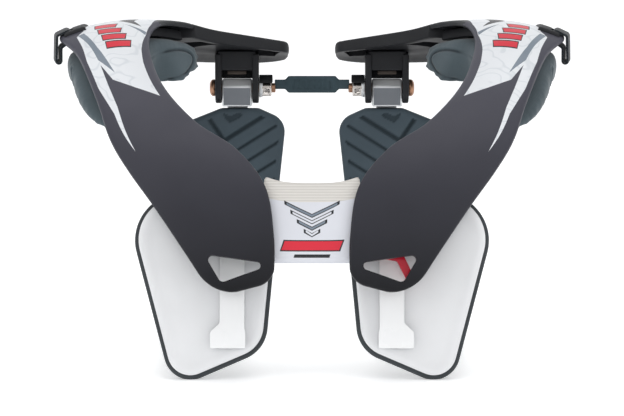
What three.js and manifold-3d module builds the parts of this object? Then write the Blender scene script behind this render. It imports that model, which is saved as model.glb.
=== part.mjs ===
// Motocross neck brace, standing on its chest and back supports. Millimetres, +Z up.
// The wearer faces -Y, so +X is the wearer's left. One half is built at +X and mirrored for the other.
// The origin is on the floor, under the middle of the whole.
import * as THREE from "three";
import { mergeVertices } from "three/addons/utils/BufferGeometryUtils.js";
import Module from "manifold-3d";

const wasm = await Module();
wasm.setup();

// Overall sizes that the frame's sections follow
const HALF_WIDTH = 153;
const HALF_DEPTH = 114;
const CREST_HEIGHT = 200;
const CROWN = 6.5;
const GAP = 0.3;

// Sections of one frame half, from the front tip over the shoulder to the rear end.
// Inner and outer edge: x as a share of HALF_WIDTH, y of HALF_DEPTH, z of CREST_HEIGHT; crown of CROWN.
const FRAME_SECTIONS = [
  { ix: 0.138, iy: -1.000, iz: 0.2815, ox: 0.357, oy: -0.996, oz: 0.2365, crown: 0.25 },
  { ix: 0.140, iy: -0.938, iz: 0.4100, ox: 0.470, oy: -0.930, oz: 0.3655, crown: 0.30 },
  { ix: 0.173, iy: -0.846, iz: 0.5445, ox: 0.582, oy: -0.833, oz: 0.4850, crown: 0.35 },
  { ix: 0.281, iy: -0.719, iz: 0.6445, ox: 0.686, oy: -0.711, oz: 0.5870, crown: 0.45 },
  { ix: 0.438, iy: -0.544, iz: 0.7180, ox: 0.758, oy: -0.579, oz: 0.6705, crown: 0.55 },
  { ix: 0.572, iy: -0.289, iz: 0.8200, ox: 0.817, oy: -0.386, oz: 0.7755, crown: 0.65 },
  { ix: 0.636, iy: 0.018, iz: 0.9300, ox: 0.905, oy: -0.105, oz: 0.9000, crown: 0.70 },
  { ix: 0.614, iy: 0.263, iz: 0.9900, ox: 0.998, oy: 0.175, oz: 0.9500, crown: 0.70 },
  { ix: 0.523, iy: 0.465, iz: 0.9925, ox: 0.954, oy: 0.491, oz: 0.9320, crown: 0.55 },
  { ix: 0.392, iy: 0.605, iz: 0.9655, ox: 0.739, oy: 0.763, oz: 0.9110, crown: 0.50 },
  { ix: 0.235, iy: 0.684, iz: 0.9445, ox: 0.458, oy: 0.956, oz: 0.8930, crown: 0.45 },
  { ix: 0.090, iy: 0.728, iz: 0.9260, ox: 0.105, oy: 0.996, oz: 0.8870, crown: 0.30 },
];

// Painted shell of the frame, from the front tip to a seam behind the shoulder
const SHELL = { from: 0, to: 8.35, thickness: 3.6, steps: 23, across: 6 };
const TIP_ROUND = { inner: 9, outer: 15 };
// Slot near the shell's tip: corners by section number and share across, radii as shares of SLOT.corner
const SLOT = { corner: 3.2, middleT: 0.55, middleS: 0.56 };
const SLOT_CORNERS = [
  { t: 0.24, s: 0.785, radius: 1 },
  { t: 0.85, s: 0.81, radius: 0.7 },
  { t: 0.38, s: 0, radius: 0.75 },
];

// Black chassis: a rail under the shell, then the open rear arm with its ribs
const RAIL = { from: 2.35, depth: 10.5, inset: 0.14, steps: 13 };
const ARM = { depth: 9, endDepth: 7, skin: 3, endRound: 9, steps: 8 };
const ARM_POCKETS = [
  { from: 8.85, to: 9.3, inner: 0.12, outer: 0.5 },
  { from: 10.3, to: 10.8, inner: 0.16, outer: 0.62 },
];

// Shoulder pad under the rail. Its sections give how far it runs past the frame's edges, as shares
// of PAD.overhang, and how deep its underside lies, as shares of PAD.depth.
const PAD = { from: 4.45, to: 8.6, steps: 13, overhang: 6, depth: 41, topRound: 2, bottomRound: 4 };
const PAD_SECTIONS = [
  { inner: -1, outer: -0.33, innerDepth: 0.366, middleDepth: 0.366, outerDepth: 0.341 },
  { inner: -0.5, outer: 1, innerDepth: 0.585, middleDepth: 0.488, outerDepth: 0.537 },
  { inner: -0.17, outer: 0.5, innerDepth: 0.829, middleDepth: 0.537, outerDepth: 0.659 },
  { inner: -0.17, outer: -0.5, innerDepth: 1, middleDepth: 0.537, outerDepth: 0.683 },
  { inner: -0.17, outer: -1, innerDepth: 0.976, middleDepth: 0.512, outerDepth: 0.634 },
  { inner: -0.83, outer: -1.33, innerDepth: 0.756, middleDepth: 0.463, outerDepth: 0.488 },
];

// Webbing loop through a slot at the shell's outer edge
const LOOP = { t: 7.05, width: 15, thickness: 1.8, slotIn: 8.8, slotOpening: 4.2, slotSide: 0.8 };
const LOOP_LINE = { top: 3.7, outerTop: 1, overhang: 1.8, drop: 15.6, lean: 2.6, tight: 1.8, wide: 3.6 };

// Chest support: a rubber pad, a dished plate and the arm that carries them. Its plane runs from a
// foot line on the floor to a head line; y as shares of HALF_DEPTH, headZ of CREST_HEIGHT.
const CHEST = { footY: -0.921, headY: -0.727, headZ: 0.52 };
const CHEST_PLATE = { padThickness: 7, plateThickness: 3.2, border: 2.3, dish: 1.4, corner: 27 };
// Corners of its outline: x as shares of HALF_WIDTH, v of the length from foot to head, radius of corner
const CHEST_CORNERS = [
  { x: 0.71, v: 0.992, radius: 1 },
  { x: 0.512, v: -0.065, radius: 0.56 },
  { x: 0.171, v: 0.145, radius: 0.74 },
  { x: 0.117, v: 0.971, radius: 0.7 },
];
// Arm: x of its middle as a share of HALF_WIDTH, ends and boss as shares of the length foot to head
const CHEST_ARM = { x: 0.293, bottom: 0.163, top: 0.922, bossBottom: 0.724, bossTop: 0.884 };
const CHEST_STRIP = { width: 13.8, thickness: 3.4, flare: 5, bossSide: 0.5 };
const CHEST_FOOT = { width: 19.8, length: 9, inset: 0.6 };

// Sleeve over the joint of the two halves: bottom and top as shares of CREST_HEIGHT
const SLEEVE = { bottom: 0.335, top: 0.5825, steps: 8 };
const SLEEVE_BAND = { dip: 3.4, wall: 1.9, tuck: 1.6, bulge: 1.6, seat: 0.4, corner: 1.2 };
// Bar inside the sleeve: its reach as a share of the sleeve's, its ends as shares of the sleeve's height
const LINK = { reach: 1.44, below: 0.305, above: 0.726, thickness: 3.2, tabLength: 16, tabThickness: 2.4 };

// Release lever behind the slot of the wearer's left half
const LEVER = { t: 0.75, s: 0.2, bend: 54 };
const LEVER_BAR = { depth: 5.4, thickness: 2.4, width: 4.6, reach: 19.5, tail: 13.5, corner: 2 };
const LEVER_EYE = { radius: 3.4, pin: 1.5 };

// Rear pivot: an aluminium block on a bolt between two ears, which carries the back support.
// Its place as shares of HALF_WIDTH, HALF_DEPTH and CREST_HEIGHT
const PIVOT_SHARE = { x: 0.3105, y: 0.8333, z: 0.78 };
const PIVOT = {
  x: PIVOT_SHARE.x * HALF_WIDTH,
  y: PIVOT_SHARE.y * HALF_DEPTH,
  z: PIVOT_SHARE.z * CREST_HEIGHT,
};
const BLOCK = { width: 18.8, front: 7, rear: 9.4, top: 5.7, chamfer: 4.7, rearChamfer: 5, below: 11.6 };
const TONGUE = { width: 13, length: 44, thickness: 3.6 };
const EAR = { thickness: 4, radius: 9.8, side: 0.35, webBelow: 11.3, topShare: 0.9 };
const BOLT = { radius: 3, headRadius: 5.4, headHeight: 3.4, clearance: 0.3, tip: 2.2 };
const NUT = { flange: 6.1, flangeLength: 2.2, acrossFlats: 10.4, length: 5.6 };
const COVER = { inner: 6.5, outer: 8.3, length: 8.4, halfAngle: 62 };
const BUMPER = { width: 12, thickness: 2.4, length: 10 };
const SCREW = { radius: 3.2, height: 1.8, upper: 19, lower: 36 };

// Back support: a rubber pad with a hard plate behind it, hung from the block
const BACK = { padThickness: 9, plateThickness: 2.8, border: 2.6, drop: 1.2, corner: 20 };
// Corners of its outline: x from the pivot as shares of HALF_WIDTH, z of the pad's top, radius of corner
const BACK_CORNERS = [
  { x: 0.065, z: 1, radius: 0.25 },
  { x: 0.235, z: 0.928, radius: 0.6 },
  { x: 0.314, z: 0.45, radius: 3 },
  { x: 0.333, z: -0.012, radius: 1 },
  { x: 0.052, z: -0.012, radius: 0.8 },
  { x: -0.163, z: 0.55, radius: 3 },
  { x: -0.203, z: 0.945, radius: 0.6 },
  { x: -0.088, z: 1, radius: 0.25 },
];

// Rubber strap between the two rear bolts; its panel's length as a share of the strap's
const STRAP = { neckHeight: 6, neckDepth: 4, rise: 2.2, corner: 1.2 };
const STRAP_PANEL = { share: 0.633, height: 10.6, depth: 5, slope: 3 };

// Painted, moulded and soft finishes
const FINISH = {
  paint: { color: 0x3c3d44, roughness: 0.5, metalness: 0 },
  black: { color: 0x1b1b1e, roughness: 0.6, metalness: 0 },
  white: { color: 0xe9eaec, roughness: 0.35, metalness: 0 },
  sleeve: { color: 0xdcdde2, roughness: 0.7, metalness: 0 },
  rubber: { color: 0x36424a, roughness: 0.75, metalness: 0 },
  edge: { color: 0x45474b, roughness: 0.7, metalness: 0 },
  webbing: { color: 0x17191c, roughness: 0.9, metalness: 0 },
  aluminium: { color: 0xb9bbbe, roughness: 0.3, metalness: 1 },
  copper: { color: 0xb0714a, roughness: 0.3, metalness: 1 },
  steel: { color: 0xc9c4bd, roughness: 0.25, metalness: 1 },
  red: { color: 0xc8102e, roughness: 0.4, metalness: 0 },
};

const OUTLINE_ARC_STEPS = 5;
const ROUND_SIDES = 16;
const vec = (x, y, z) => new THREE.Vector3(x, y, z);
const lerp = (a, b, k) => a + (b - a) * k;

// Directions for a profile that lies across the rear bolts: back, up and along the bolt
const BOLT_AXES = [vec(0, 1, 0), vec(0, 0, 1), vec(1, 0, 0)];

// Reads one column of a table of sections smoothly, with t counted in rows.
function column(rows, key, t) {
  const last = rows.length - 1;
  const i = Math.min(Math.max(Math.floor(t), 0), last - 1);
  const k = t - i;
  const [p0, p1, p2, p3] = [i - 1, i, i + 1, i + 2].map((n) => rows[Math.min(Math.max(n, 0), last)][key]);
  const before = i > 0 ? p0 : 2 * p1 - p2;
  const after = i + 2 <= last ? p3 : 2 * p2 - p1;
  const slope1 = (p2 - before) / 2;
  const slope2 = (after - p1) / 2;
  const k2 = k * k;
  const k3 = k2 * k;
  const places = (2 * k3 - 3 * k2 + 1) * p1 + (3 * k2 - 2 * k3) * p2;
  return places + (k3 - 2 * k2 + k) * slope1 + (k3 - k2) * slope2;
}

// The frame's inner and outer edge at section t.
function frameEdges(t) {
  const at = (key) => column(FRAME_SECTIONS, key, t);
  const inner = vec(at("ix") * HALF_WIDTH, at("iy") * HALF_DEPTH, at("iz") * CREST_HEIGHT);
  const outer = vec(at("ox") * HALF_WIDTH, at("oy") * HALF_DEPTH, at("oz") * CREST_HEIGHT);
  return { inner, outer };
}

// Across, along and normal directions of the frame's surface at section t.
function frameAxes(t) {
  const step = 0.05;
  const middle = (n) => {
    const e = frameEdges(n);
    return e.inner.add(e.outer).multiplyScalar(0.5);
  };
  const { inner, outer } = frameEdges(t);
  const width = inner.distanceTo(outer);
  const across = outer.clone().sub(inner).normalize();
  const along = middle(t + step).sub(middle(t - step));
  const normal = across.clone().cross(along).normalize();
  along.crossVectors(normal, across).normalize();
  return { inner, outer, width, across, along, normal };
}

// A point of the frame: section t, share s across, and depth below the top surface.
function framePoint(t, s, depth) {
  const { inner, outer, normal } = frameAxes(t);
  const crown = CROWN * column(FRAME_SECTIONS, "crown", t) * 4 * s * (1 - s);
  return inner.lerp(outer, s).addScaledVector(normal, crown - depth);
}

// Closed geometry from points and triangles, turned to face out.
function closedGeometry(points, triangles) {
  let volume = 0;
  for (const [a, b, c] of triangles) volume += points[a].dot(points[b].clone().cross(points[c]));
  const index = triangles.flatMap(([a, b, c]) => (volume > 0 ? [a, b, c] : [a, c, b]));
  const geometry = new THREE.BufferGeometry().setFromPoints(points);
  geometry.setIndex(index);
  return geometry;
}

// Triangles of the wall between rings of equal length.
function wallTriangles(rings) {
  const n = rings[0].length;
  const made = [];
  for (let r = 0; r + 1 < rings.length; r++)
    for (let i = 0; i < n; i++) {
      const j = (i + 1) % n;
      const [a, b, c, d] = [r * n + i, r * n + j, (r + 1) * n + j, (r + 1) * n + i];
      made.push([a, b, c], [a, c, d]);
    }
  return made;
}

// Solid through flat sections, each of which runs out along one side and back along the other.
function stripSolid(rings) {
  const n = rings[0].length;
  const triangles = wallTriangles(rings);
  const last = (rings.length - 1) * n;
  for (let i = 0; i + 1 < n / 2; i++) {
    const [a, b, c, d] = [i, i + 1, n - 2 - i, n - 1 - i];
    triangles.push([a, c, b], [a, d, c]);
    triangles.push([last + a, last + b, last + c], [last + a, last + c, last + d]);
  }
  return closedGeometry(rings.flat(), triangles);
}

// Solid through nested rings, closed by a point at each end.
function ringSolid(rings, firstCentre, lastCentre) {
  const n = rings[0].length;
  const triangles = wallTriangles(rings);
  const points = rings.flat();
  const [first, last] = [points.length, points.length + 1];
  const lastRing = (rings.length - 1) * n;
  for (let i = 0; i < n; i++) {
    const j = (i + 1) % n;
    triangles.push([first, j, i], [last, lastRing + i, lastRing + j]);
  }
  return closedGeometry([...points, firstCentre, lastCentre], triangles);
}

// A length of the frame's ribbon between two depths.
function frameStrip({ sections, across, from, to, top, bottom }) {
  const rings = sections.map((t) => {
    const [s0, s1] = [from(t), to(t)];
    const shares = Array.from({ length: across + 1 }, (_, i) => lerp(s0, s1, i / across));
    const upper = shares.map((s) => framePoint(t, s, top(t, s)));
    const lower = shares.map((s) => framePoint(t, s, bottom(t, s)));
    return [...upper, ...lower.reverse()];
  });
  return stripSolid(rings);
}

const evenly = (from, to, steps) => Array.from({ length: steps + 1 }, (_, i) => lerp(from, to, i / steps));

// How far an edge is drawn in, near a rounded end, at a distance from that end.
function roundIn(distance, radius) {
  const k = Math.min(Math.max(distance / radius, 0), 1);
  return radius * (1 - Math.sqrt(Math.max(1 - (1 - k) * (1 - k), 0)));
}

// Outline with rounded corners, from corners given in order.
function roundedOutline(corners) {
  const points = [];
  corners.forEach((corner, i) => {
    const at = new THREE.Vector2(corner.x, corner.y);
    const before = corners[(i + corners.length - 1) % corners.length];
    const after = corners[(i + 1) % corners.length];
    const back = new THREE.Vector2(before.x, before.y).sub(at).normalize();
    const ahead = new THREE.Vector2(after.x, after.y).sub(at).normalize();
    const half = Math.acos(THREE.MathUtils.clamp(back.dot(ahead), -1, 1)) / 2;
    const reach = corner.radius / Math.tan(half);
    const centre = back.clone().add(ahead).normalize().multiplyScalar(corner.radius / Math.sin(half)).add(at);
    const start = at.clone().addScaledVector(back, reach).sub(centre);
    const end = at.clone().addScaledVector(ahead, reach).sub(centre);
    const turn = Math.atan2(start.x * end.y - start.y * end.x, start.dot(end));
    const middle = new THREE.Vector2();
    for (let k = 0; k <= OUTLINE_ARC_STEPS; k++)
      points.push(start.clone().rotateAround(middle, (turn * k) / OUTLINE_ARC_STEPS).add(centre));
  });
  return points;
}

// The outline drawn in by a distance, for outlines whose corners are rounder than that.
function insetOutline(outline, inset) {
  const n = outline.length;
  const area = outline.reduce((sum, p, i) => sum + p.cross(outline[(i + 1) % n]), 0);
  return outline.map((p, i) => {
    const along = outline[(i + 1) % n].clone().sub(outline[(i + n - 1) % n]).normalize();
    const inward = new THREE.Vector2(-along.y, along.x).multiplyScalar(Math.sign(area));
    return p.clone().addScaledVector(inward, inset);
  });
}

// A slab with an outline and a rim profile of insets and heights, placed by a function of u, v and height.
function slab(outline, profile, place) {
  const ring = ({ inset, height }) => insetOutline(outline, inset).map((p) => place(p.x, p.y, height));
  const rings = profile.map(ring);
  const middle = outline.reduce((sum, p) => sum.add(p), new THREE.Vector2()).divideScalar(outline.length);
  const ends = [profile[0], profile[profile.length - 1]];
  const [first, last] = ends.map((row) => place(middle.x, middle.y, row.centreHeight ?? row.height));
  return ringSolid(rings, first, last);
}

// A shape of points pushed out along its own depth, centred on zero depth.
function prism(points, depth, holes = []) {
  const shape = new THREE.Shape(points);
  holes.forEach((hole) => shape.holes.push(new THREE.Path(hole)));
  const geometry = new THREE.ExtrudeGeometry(shape, { depth, bevelEnabled: false, curveSegments: 12 });
  return geometry.translate(0, 0, -depth / 2);
}

// Moves a geometry so that its x, y and z lie along three directions from a point.
function oriented(geometry, x, y, z, origin) {
  return geometry.applyMatrix4(new THREE.Matrix4().makeBasis(x, y, z).setPosition(origin));
}

// A geometry as a solid for cutting and joining.
function solid(geometry) {
  const bare = geometry.index ? geometry.toNonIndexed() : geometry.clone();
  const only = new THREE.BufferGeometry().setAttribute("position", bare.getAttribute("position"));
  const merged = mergeVertices(only, 1e-3);
  const mesh = new wasm.Mesh({
    numProp: 3,
    vertProperties: merged.attributes.position.array,
    triVerts: new Uint32Array(merged.index.array),
  });
  return new wasm.Manifold(mesh);
}

// A cut or joined solid as a geometry again.
function geometryOf(made) {
  const mesh = made.getMesh();
  const geometry = new THREE.BufferGeometry();
  geometry.setAttribute("position", new THREE.BufferAttribute(new Float32Array(mesh.vertProperties), 3));
  geometry.setIndex(new THREE.BufferAttribute(new Uint32Array(mesh.triVerts), 1));
  return geometry;
}

// A cylinder along X between two places.
function rodX(radius, from, to, y, z, sides = ROUND_SIDES) {
  const geometry = new THREE.CylinderGeometry(radius, radius, to - from, sides);
  return geometry.rotateZ(Math.PI / 2).translate((from + to) / 2, y, z);
}

// A box between two corners.
function boxBetween(low, high) {
  const size = high.clone().sub(low);
  const middle = low.clone().add(high).multiplyScalar(0.5);
  return new THREE.BoxGeometry(size.x, size.y, size.z).translate(middle.x, middle.y, middle.z);
}

// Cuts off what lies below the floor, so that a soft foot has a small flat.
function onFloor(geometry) {
  const reach = 2 * CREST_HEIGHT;
  const below = boxBetween(vec(-reach, -reach, -reach), vec(reach, reach, 0));
  return geometryOf(solid(geometry).subtract(solid(below)));
}

function mesh(name, geometry, finish) {
  const made = new THREE.Mesh(geometry, new THREE.MeshStandardMaterial(FINISH[finish]));
  made.name = name;
  return made;
}

// Space taken by the shell and everything in front of it, for pieces that seat on its underside
function shellKeepout() {
  return frameStrip({
    sections: evenly(-0.4, 3, 14),
    across: SHELL.across,
    from: () => -0.25,
    to: () => 1.25,
    top: () => -HALF_DEPTH / 3,
    bottom: () => SHELL.thickness + GAP,
  });
}

// Space taken by the rail, for the chest support under it
function railKeepout() {
  const margin = (t) => GAP / frameAxes(t).width;
  return frameStrip({
    sections: evenly(RAIL.from - 0.05, RAIL.from + 3, 8),
    across: 5,
    from: (t) => RAIL.inset - margin(t),
    to: (t) => 1 - RAIL.inset + margin(t),
    top: () => 0,
    bottom: () => RAIL.depth + GAP,
  });
}

// The same geometry on the other side of the middle plane, still facing out
function mirroredGeometry(geometry) {
  const made = geometry.clone().scale(-1, 1, 1);
  const index = made.index.array;
  for (let i = 0; i < index.length; i += 3) [index[i + 1], index[i + 2]] = [index[i + 2], index[i + 1]];
  return made;
}

// Sections of the shell, closer together at the rounded tip
function shellSections() {
  const tipEnd = SHELL.from + 0.5;
  return [...evenly(SHELL.from, tipEnd, 5).slice(0, -1), ...evenly(tipEnd, SHELL.to, SHELL.steps)];
}

// Distance along the frame from the shell's tip to section t, near the tip
function tipDistance(t) {
  const [a, b] = [frameEdges(SHELL.from), frameEdges(t)];
  return (a.inner.distanceTo(b.inner) + a.outer.distanceTo(b.outer)) / 2;
}

function slotCutter() {
  const centre = framePoint(SLOT.middleT, SLOT.middleS, 0);
  const { across, along, normal } = frameAxes(SLOT.middleT);
  const corners = SLOT_CORNERS.map(({ t, s, radius }) => {
    const p = framePoint(t, s, 0).sub(centre);
    return { x: p.dot(across), y: p.dot(along), radius: radius * SLOT.corner };
  });
  const cutterDepth = 8 * SHELL.thickness;
  return solid(oriented(prism(roundedOutline(corners), cutterDepth), across, along, normal, centre));
}

// The webbing loop's own axes at the shell's outer edge
function loopFrame() {
  const { outer, across, along, normal } = frameAxes(LOOP.t);
  const origin = framePoint(LOOP.t, 1, 0);
  return { outer, across, along, normal, origin };
}

// Closed band around the shell's edge with a hanging end; x runs outward and y up from the edge
function loopBand() {
  const inside = -LOOP.slotIn + LOOP.slotOpening / 2;
  const half = LOOP.thickness / 2;
  const { top, outerTop, overhang, drop, lean, tight, wide } = LOOP_LINE;
  const line = roundedOutline([
    { x: inside, y: top, radius: tight },
    { x: inside, y: -LOOP.thickness, radius: wide },
    { x: inside + lean, y: -drop, radius: wide },
    { x: overhang + lean, y: -drop, radius: wide },
    { x: overhang, y: outerTop, radius: tight },
  ]);
  const { across, along, normal, origin } = loopFrame();
  const band = prism(insetOutline(line, -half), LOOP.width, [insetOutline(line, half)]);
  return oriented(band, across, normal, along.clone().negate(), origin);
}

function loopSlotCutter(extra) {
  const { across, along, normal, origin } = loopFrame();
  const length = LOOP.width + 2 * LOOP.slotSide + 2 * extra;
  const cutter = new THREE.BoxGeometry(LOOP.slotOpening + 2 * extra, length, 10 * SHELL.thickness);
  const centre = origin.addScaledVector(across, -LOOP.slotIn + LOOP.slotOpening / 2);
  return solid(oriented(cutter, across, along, normal, centre));
}

function buildShell() {
  const width = (t) => frameAxes(t).width;
  const geometry = frameStrip({
    sections: shellSections(),
    across: SHELL.across,
    from: (t) => roundIn(tipDistance(t), TIP_ROUND.inner) / width(t),
    to: (t) => 1 - roundIn(tipDistance(t), TIP_ROUND.outer) / width(t),
    top: () => 0,
    bottom: () => SHELL.thickness,
  });
  return geometryOf(solid(geometry).subtract(slotCutter()).subtract(loopSlotCutter(0)));
}

// Rail under the shell and rear arm behind it, in one strip with a step where the shell ends
function chassisStrip() {
  const seam = SHELL.to;
  const isArm = (t) => t > seam + 0.01;
  const last = FRAME_SECTIONS.length - 1;
  const width = (t) => frameAxes(t).width;
  const fromEnd = (t) => frameEdges(t).inner.distanceTo(frameEdges(last).inner);
  const rounding = (t) => roundIn(fromEnd(t), ARM.endRound) / width(t);
  return frameStrip({
    sections: [
      ...evenly(RAIL.from, seam, RAIL.steps),
      ...evenly(seam + 0.03, last - 0.6, ARM.steps),
      ...evenly(last - 0.45, last, 5),
    ],
    across: 5,
    from: (t) => (isArm(t) ? rounding(t) : RAIL.inset),
    to: (t) => (isArm(t) ? 1 - rounding(t) : 1 - RAIL.inset),
    top: (t) => (isArm(t) ? 0 : SHELL.thickness + 2 * GAP),
    bottom: (t) => (isArm(t) ? lerp(ARM.depth, ARM.endDepth, (t - seam) / (last - seam)) : RAIL.depth),
  });
}

function armPocket({ from, to, inner, outer }) {
  return solid(
    frameStrip({
      sections: evenly(from, to, 3),
      across: 3,
      from: () => inner,
      to: () => outer,
      top: () => ARM.skin,
      bottom: () => ARM.depth + 3,
    }),
  );
}

// Two ears and a web, hung from the arm at the pivot; the profile lies across the bolt
function clevis() {
  const rise = EAR.topShare * CREST_HEIGHT - PIVOT.z;
  const profile = [new THREE.Vector2(EAR.radius, rise)];
  for (let k = 0; k <= 10; k++) {
    const angle = -(Math.PI * k) / 10;
    profile.push(new THREE.Vector2(EAR.radius * Math.cos(angle), EAR.radius * Math.sin(angle)));
  }
  profile.push(new THREE.Vector2(-EAR.radius, 0.9 * rise));
  const half = BLOCK.width / 2 + EAR.side;
  const origin = vec(PIVOT.x, PIVOT.y, PIVOT.z);
  const whole = solid(oriented(prism(profile, 2 * (half + EAR.thickness)), ...BOLT_AXES, origin));
  const clear = 2 * EAR.radius;
  const low = vec(PIVOT.x - half, PIVOT.y - clear, PIVOT.z - clear);
  const high = vec(PIVOT.x + half, PIVOT.y + clear, PIVOT.z + EAR.webBelow);
  return whole.subtract(solid(boxBetween(low, high)));
}

// The arm's own top side, kept clear when the clevis is joined from below
function aboveArm() {
  return solid(
    frameStrip({
      sections: evenly(SHELL.to, FRAME_SECTIONS.length - 0.8, 8),
      across: 4,
      from: () => -0.6,
      to: () => 1.6,
      top: () => -4 * ARM.depth,
      bottom: () => ARM.skin / 2,
    }),
  );
}

function buildChassis() {
  const bore = rodX(BOLT.radius + BOLT.clearance, 0, 2 * PIVOT.x, PIVOT.y, PIVOT.z);
  let made = solid(chassisStrip());
  for (const pocket of ARM_POCKETS) made = made.subtract(armPocket(pocket));
  made = made.add(clevis().subtract(aboveArm())).subtract(solid(bore));
  return geometryOf(made.subtract(loopSlotCutter(1)));
}

// Saddle pad: a top that clears the rail and an underside with flanges at the neck and arm sides
function buildShoulderPad() {
  const rows = PAD_SECTIONS.length - 1;
  const at = (key, t) => column(PAD_SECTIONS, key, (rows * (t - PAD.from)) / (PAD.to - PAD.from));
  const edgeShare = (t, key) => (at(key, t) * PAD.overhang) / frameAxes(t).width;
  const flange = (t, s) => {
    const toInner = Math.pow(Math.max(1 - 2 * s, 0), 2.4) * (at("innerDepth", t) - at("middleDepth", t));
    const toOuter = Math.pow(Math.max(2 * s - 1, 0), 2.4) * (at("outerDepth", t) - at("middleDepth", t));
    return PAD.depth * (at("middleDepth", t) + toInner + toOuter);
  };
  const crownDrop = (t, s) => {
    const beyond = Math.max(-s, s - 1, 0);
    return CROWN * column(FRAME_SECTIONS, "crown", t) * 4 * beyond * (1 + beyond);
  };
  const top = RAIL.depth + 3 * GAP;
  const rings = evenly(PAD.from, PAD.to, PAD.steps).map((t) => {
    const s0 = -edgeShare(t, "inner");
    const s1 = 1 + edgeShare(t, "outer");
    const ring = [];
    const across = 8;
    for (let i = 0; i <= across; i++) {
      const s = lerp(s0, s1, i / across);
      const nearEdge = i === 0 || i === across;
      ring.push(framePoint(t, s, top + (nearEdge ? PAD.topRound : 0) - crownDrop(t, s)));
    }
    for (let i = across; i >= 0; i--) {
      const s = lerp(s0, s1, i / across);
      const nearEdge = i === 0 || i === across;
      ring.push(framePoint(t, s, flange(t, i / across) - (nearEdge ? PAD.bottomRound : 0) - crownDrop(t, s)));
    }
    return ring;
  });
  return geometryOf(solid(stripSolid(rings)).subtract(loopClearance()));
}

// Room round the webbing loop, from its slot outward
function loopClearance() {
  const { across, along, normal, origin } = loopFrame();
  const [inside, outside, height] = [LOOP.slotIn + 1, 2 * LOOP.width, 5 * LOOP.width];
  const cutter = new THREE.BoxGeometry(inside + outside, LOOP.width + 2 * LOOP.slotSide, height);
  const centre = origin.addScaledVector(across, (outside - inside) / 2);
  return solid(oriented(cutter, across, along, normal, centre));
}

const chestRise = CHEST.headZ * CREST_HEIGHT;
const chestTilt = Math.atan2((CHEST.headY - CHEST.footY) * HALF_DEPTH, chestRise);
const chestLength = chestRise / Math.cos(chestTilt);

// The chest support's axes: u across, v up along the plate, height towards the front
function chestPlace(u, v, height) {
  const y = CHEST.footY * HALF_DEPTH + v * Math.sin(chestTilt) - height * Math.cos(chestTilt);
  return vec(u, y, v * Math.cos(chestTilt) + height * Math.sin(chestTilt));
}

function chestOutline() {
  const lift = CHEST_PLATE.padThickness * Math.sin(chestTilt);
  const corners = CHEST_CORNERS.map(({ x, v, radius }) => ({
    x: x * HALF_WIDTH,
    y: v * chestLength + lift,
    radius: radius * CHEST_PLATE.corner,
  }));
  return roundedOutline(corners);
}

function buildChestPad() {
  const back = -CHEST_PLATE.padThickness;
  const round = CHEST_PLATE.padThickness / 2;
  const profile = [
    { inset: round, height: back },
    { inset: round * 0.23, height: back + round * 0.26 },
    { inset: 0, height: back + round * 0.74 },
    { inset: 0, height: -round * 0.23 },
    { inset: round * 0.2, height: 0 },
  ];
  const made = solid(slab(chestOutline(), profile, chestPlace)).subtract(solid(railKeepout()));
  return onFloor(geometryOf(made));
}

function buildChestPlate() {
  const { border: edge, plateThickness: rim, dish } = CHEST_PLATE;
  const profile = [
    { inset: edge, height: GAP },
    { inset: edge, height: rim * 0.7 },
    { inset: edge * 1.43, height: rim },
    { inset: edge * 2.57, height: rim * 0.97 },
    { inset: edge * 4.9, height: rim - dish * 0.8, centreHeight: rim - dish },
  ];
  return geometryOf(solid(slab(chestOutline(), profile, chestPlace)).subtract(solid(railKeepout())));
}

// Arm of the chest support, with a wider foot and a boss that seats on the shell's underside
function buildChestArm() {
  const { width, thickness, flare, bossSide } = CHEST_STRIP;
  const x = CHEST_ARM.x * HALF_WIDTH;
  const [bottom, top] = [CHEST_ARM.bottom * chestLength, CHEST_ARM.top * chestLength];
  const [inner, outer] = [x - width / 2, x + width / 2];
  const footInner = inner - CHEST_FOOT.inset;
  const footOuter = footInner + CHEST_FOOT.width;
  const footTop = bottom + CHEST_FOOT.length;
  const outline = [
    [inner, top],
    [outer, top],
    [outer, footTop + flare],
    [footOuter, footTop],
    [footOuter, bottom],
    [footInner, bottom],
    [footInner, footTop],
    [inner, footTop + flare * 0.4],
  ].map(([u, v]) => new THREE.Vector2(u, v));
  const middle = CHEST_PLATE.plateThickness + GAP + thickness / 2;
  const up = vec(0, Math.sin(chestTilt), Math.cos(chestTilt));
  const ahead = vec(0, -Math.cos(chestTilt), Math.sin(chestTilt));
  const axes = [vec(1, 0, 0), up, ahead];
  const arm = solid(oriented(prism(outline, thickness), ...axes, chestPlace(0, 0, middle)));
  const [bossLow, bossHigh] = [CHEST_ARM.bossBottom * chestLength, CHEST_ARM.bossTop * chestLength];
  const bossDepth = HALF_DEPTH / 4;
  const boss = new THREE.BoxGeometry(width - 2 * bossSide, bossHigh - bossLow, bossDepth);
  const bossAt = chestPlace(x, (bossLow + bossHigh) / 2, middle + bossDepth / 2);
  return geometryOf(arm.add(solid(oriented(boss, ...axes, bossAt))).subtract(solid(shellKeepout())));
}

// The sleeve leans with the frame's inner edges
const sleeveBottom = SLEEVE.bottom * CREST_HEIGHT;
const sleeveTop = SLEEVE.top * CREST_HEIGHT;
const sleeveSetback = innerEdgeAt(sleeveTop).y - innerEdgeAt(sleeveBottom).y;
const sleeveTilt = Math.atan2(sleeveSetback, sleeveTop - sleeveBottom);
const sleeveHeight = (sleeveTop - sleeveBottom) / Math.cos(sleeveTilt);

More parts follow.
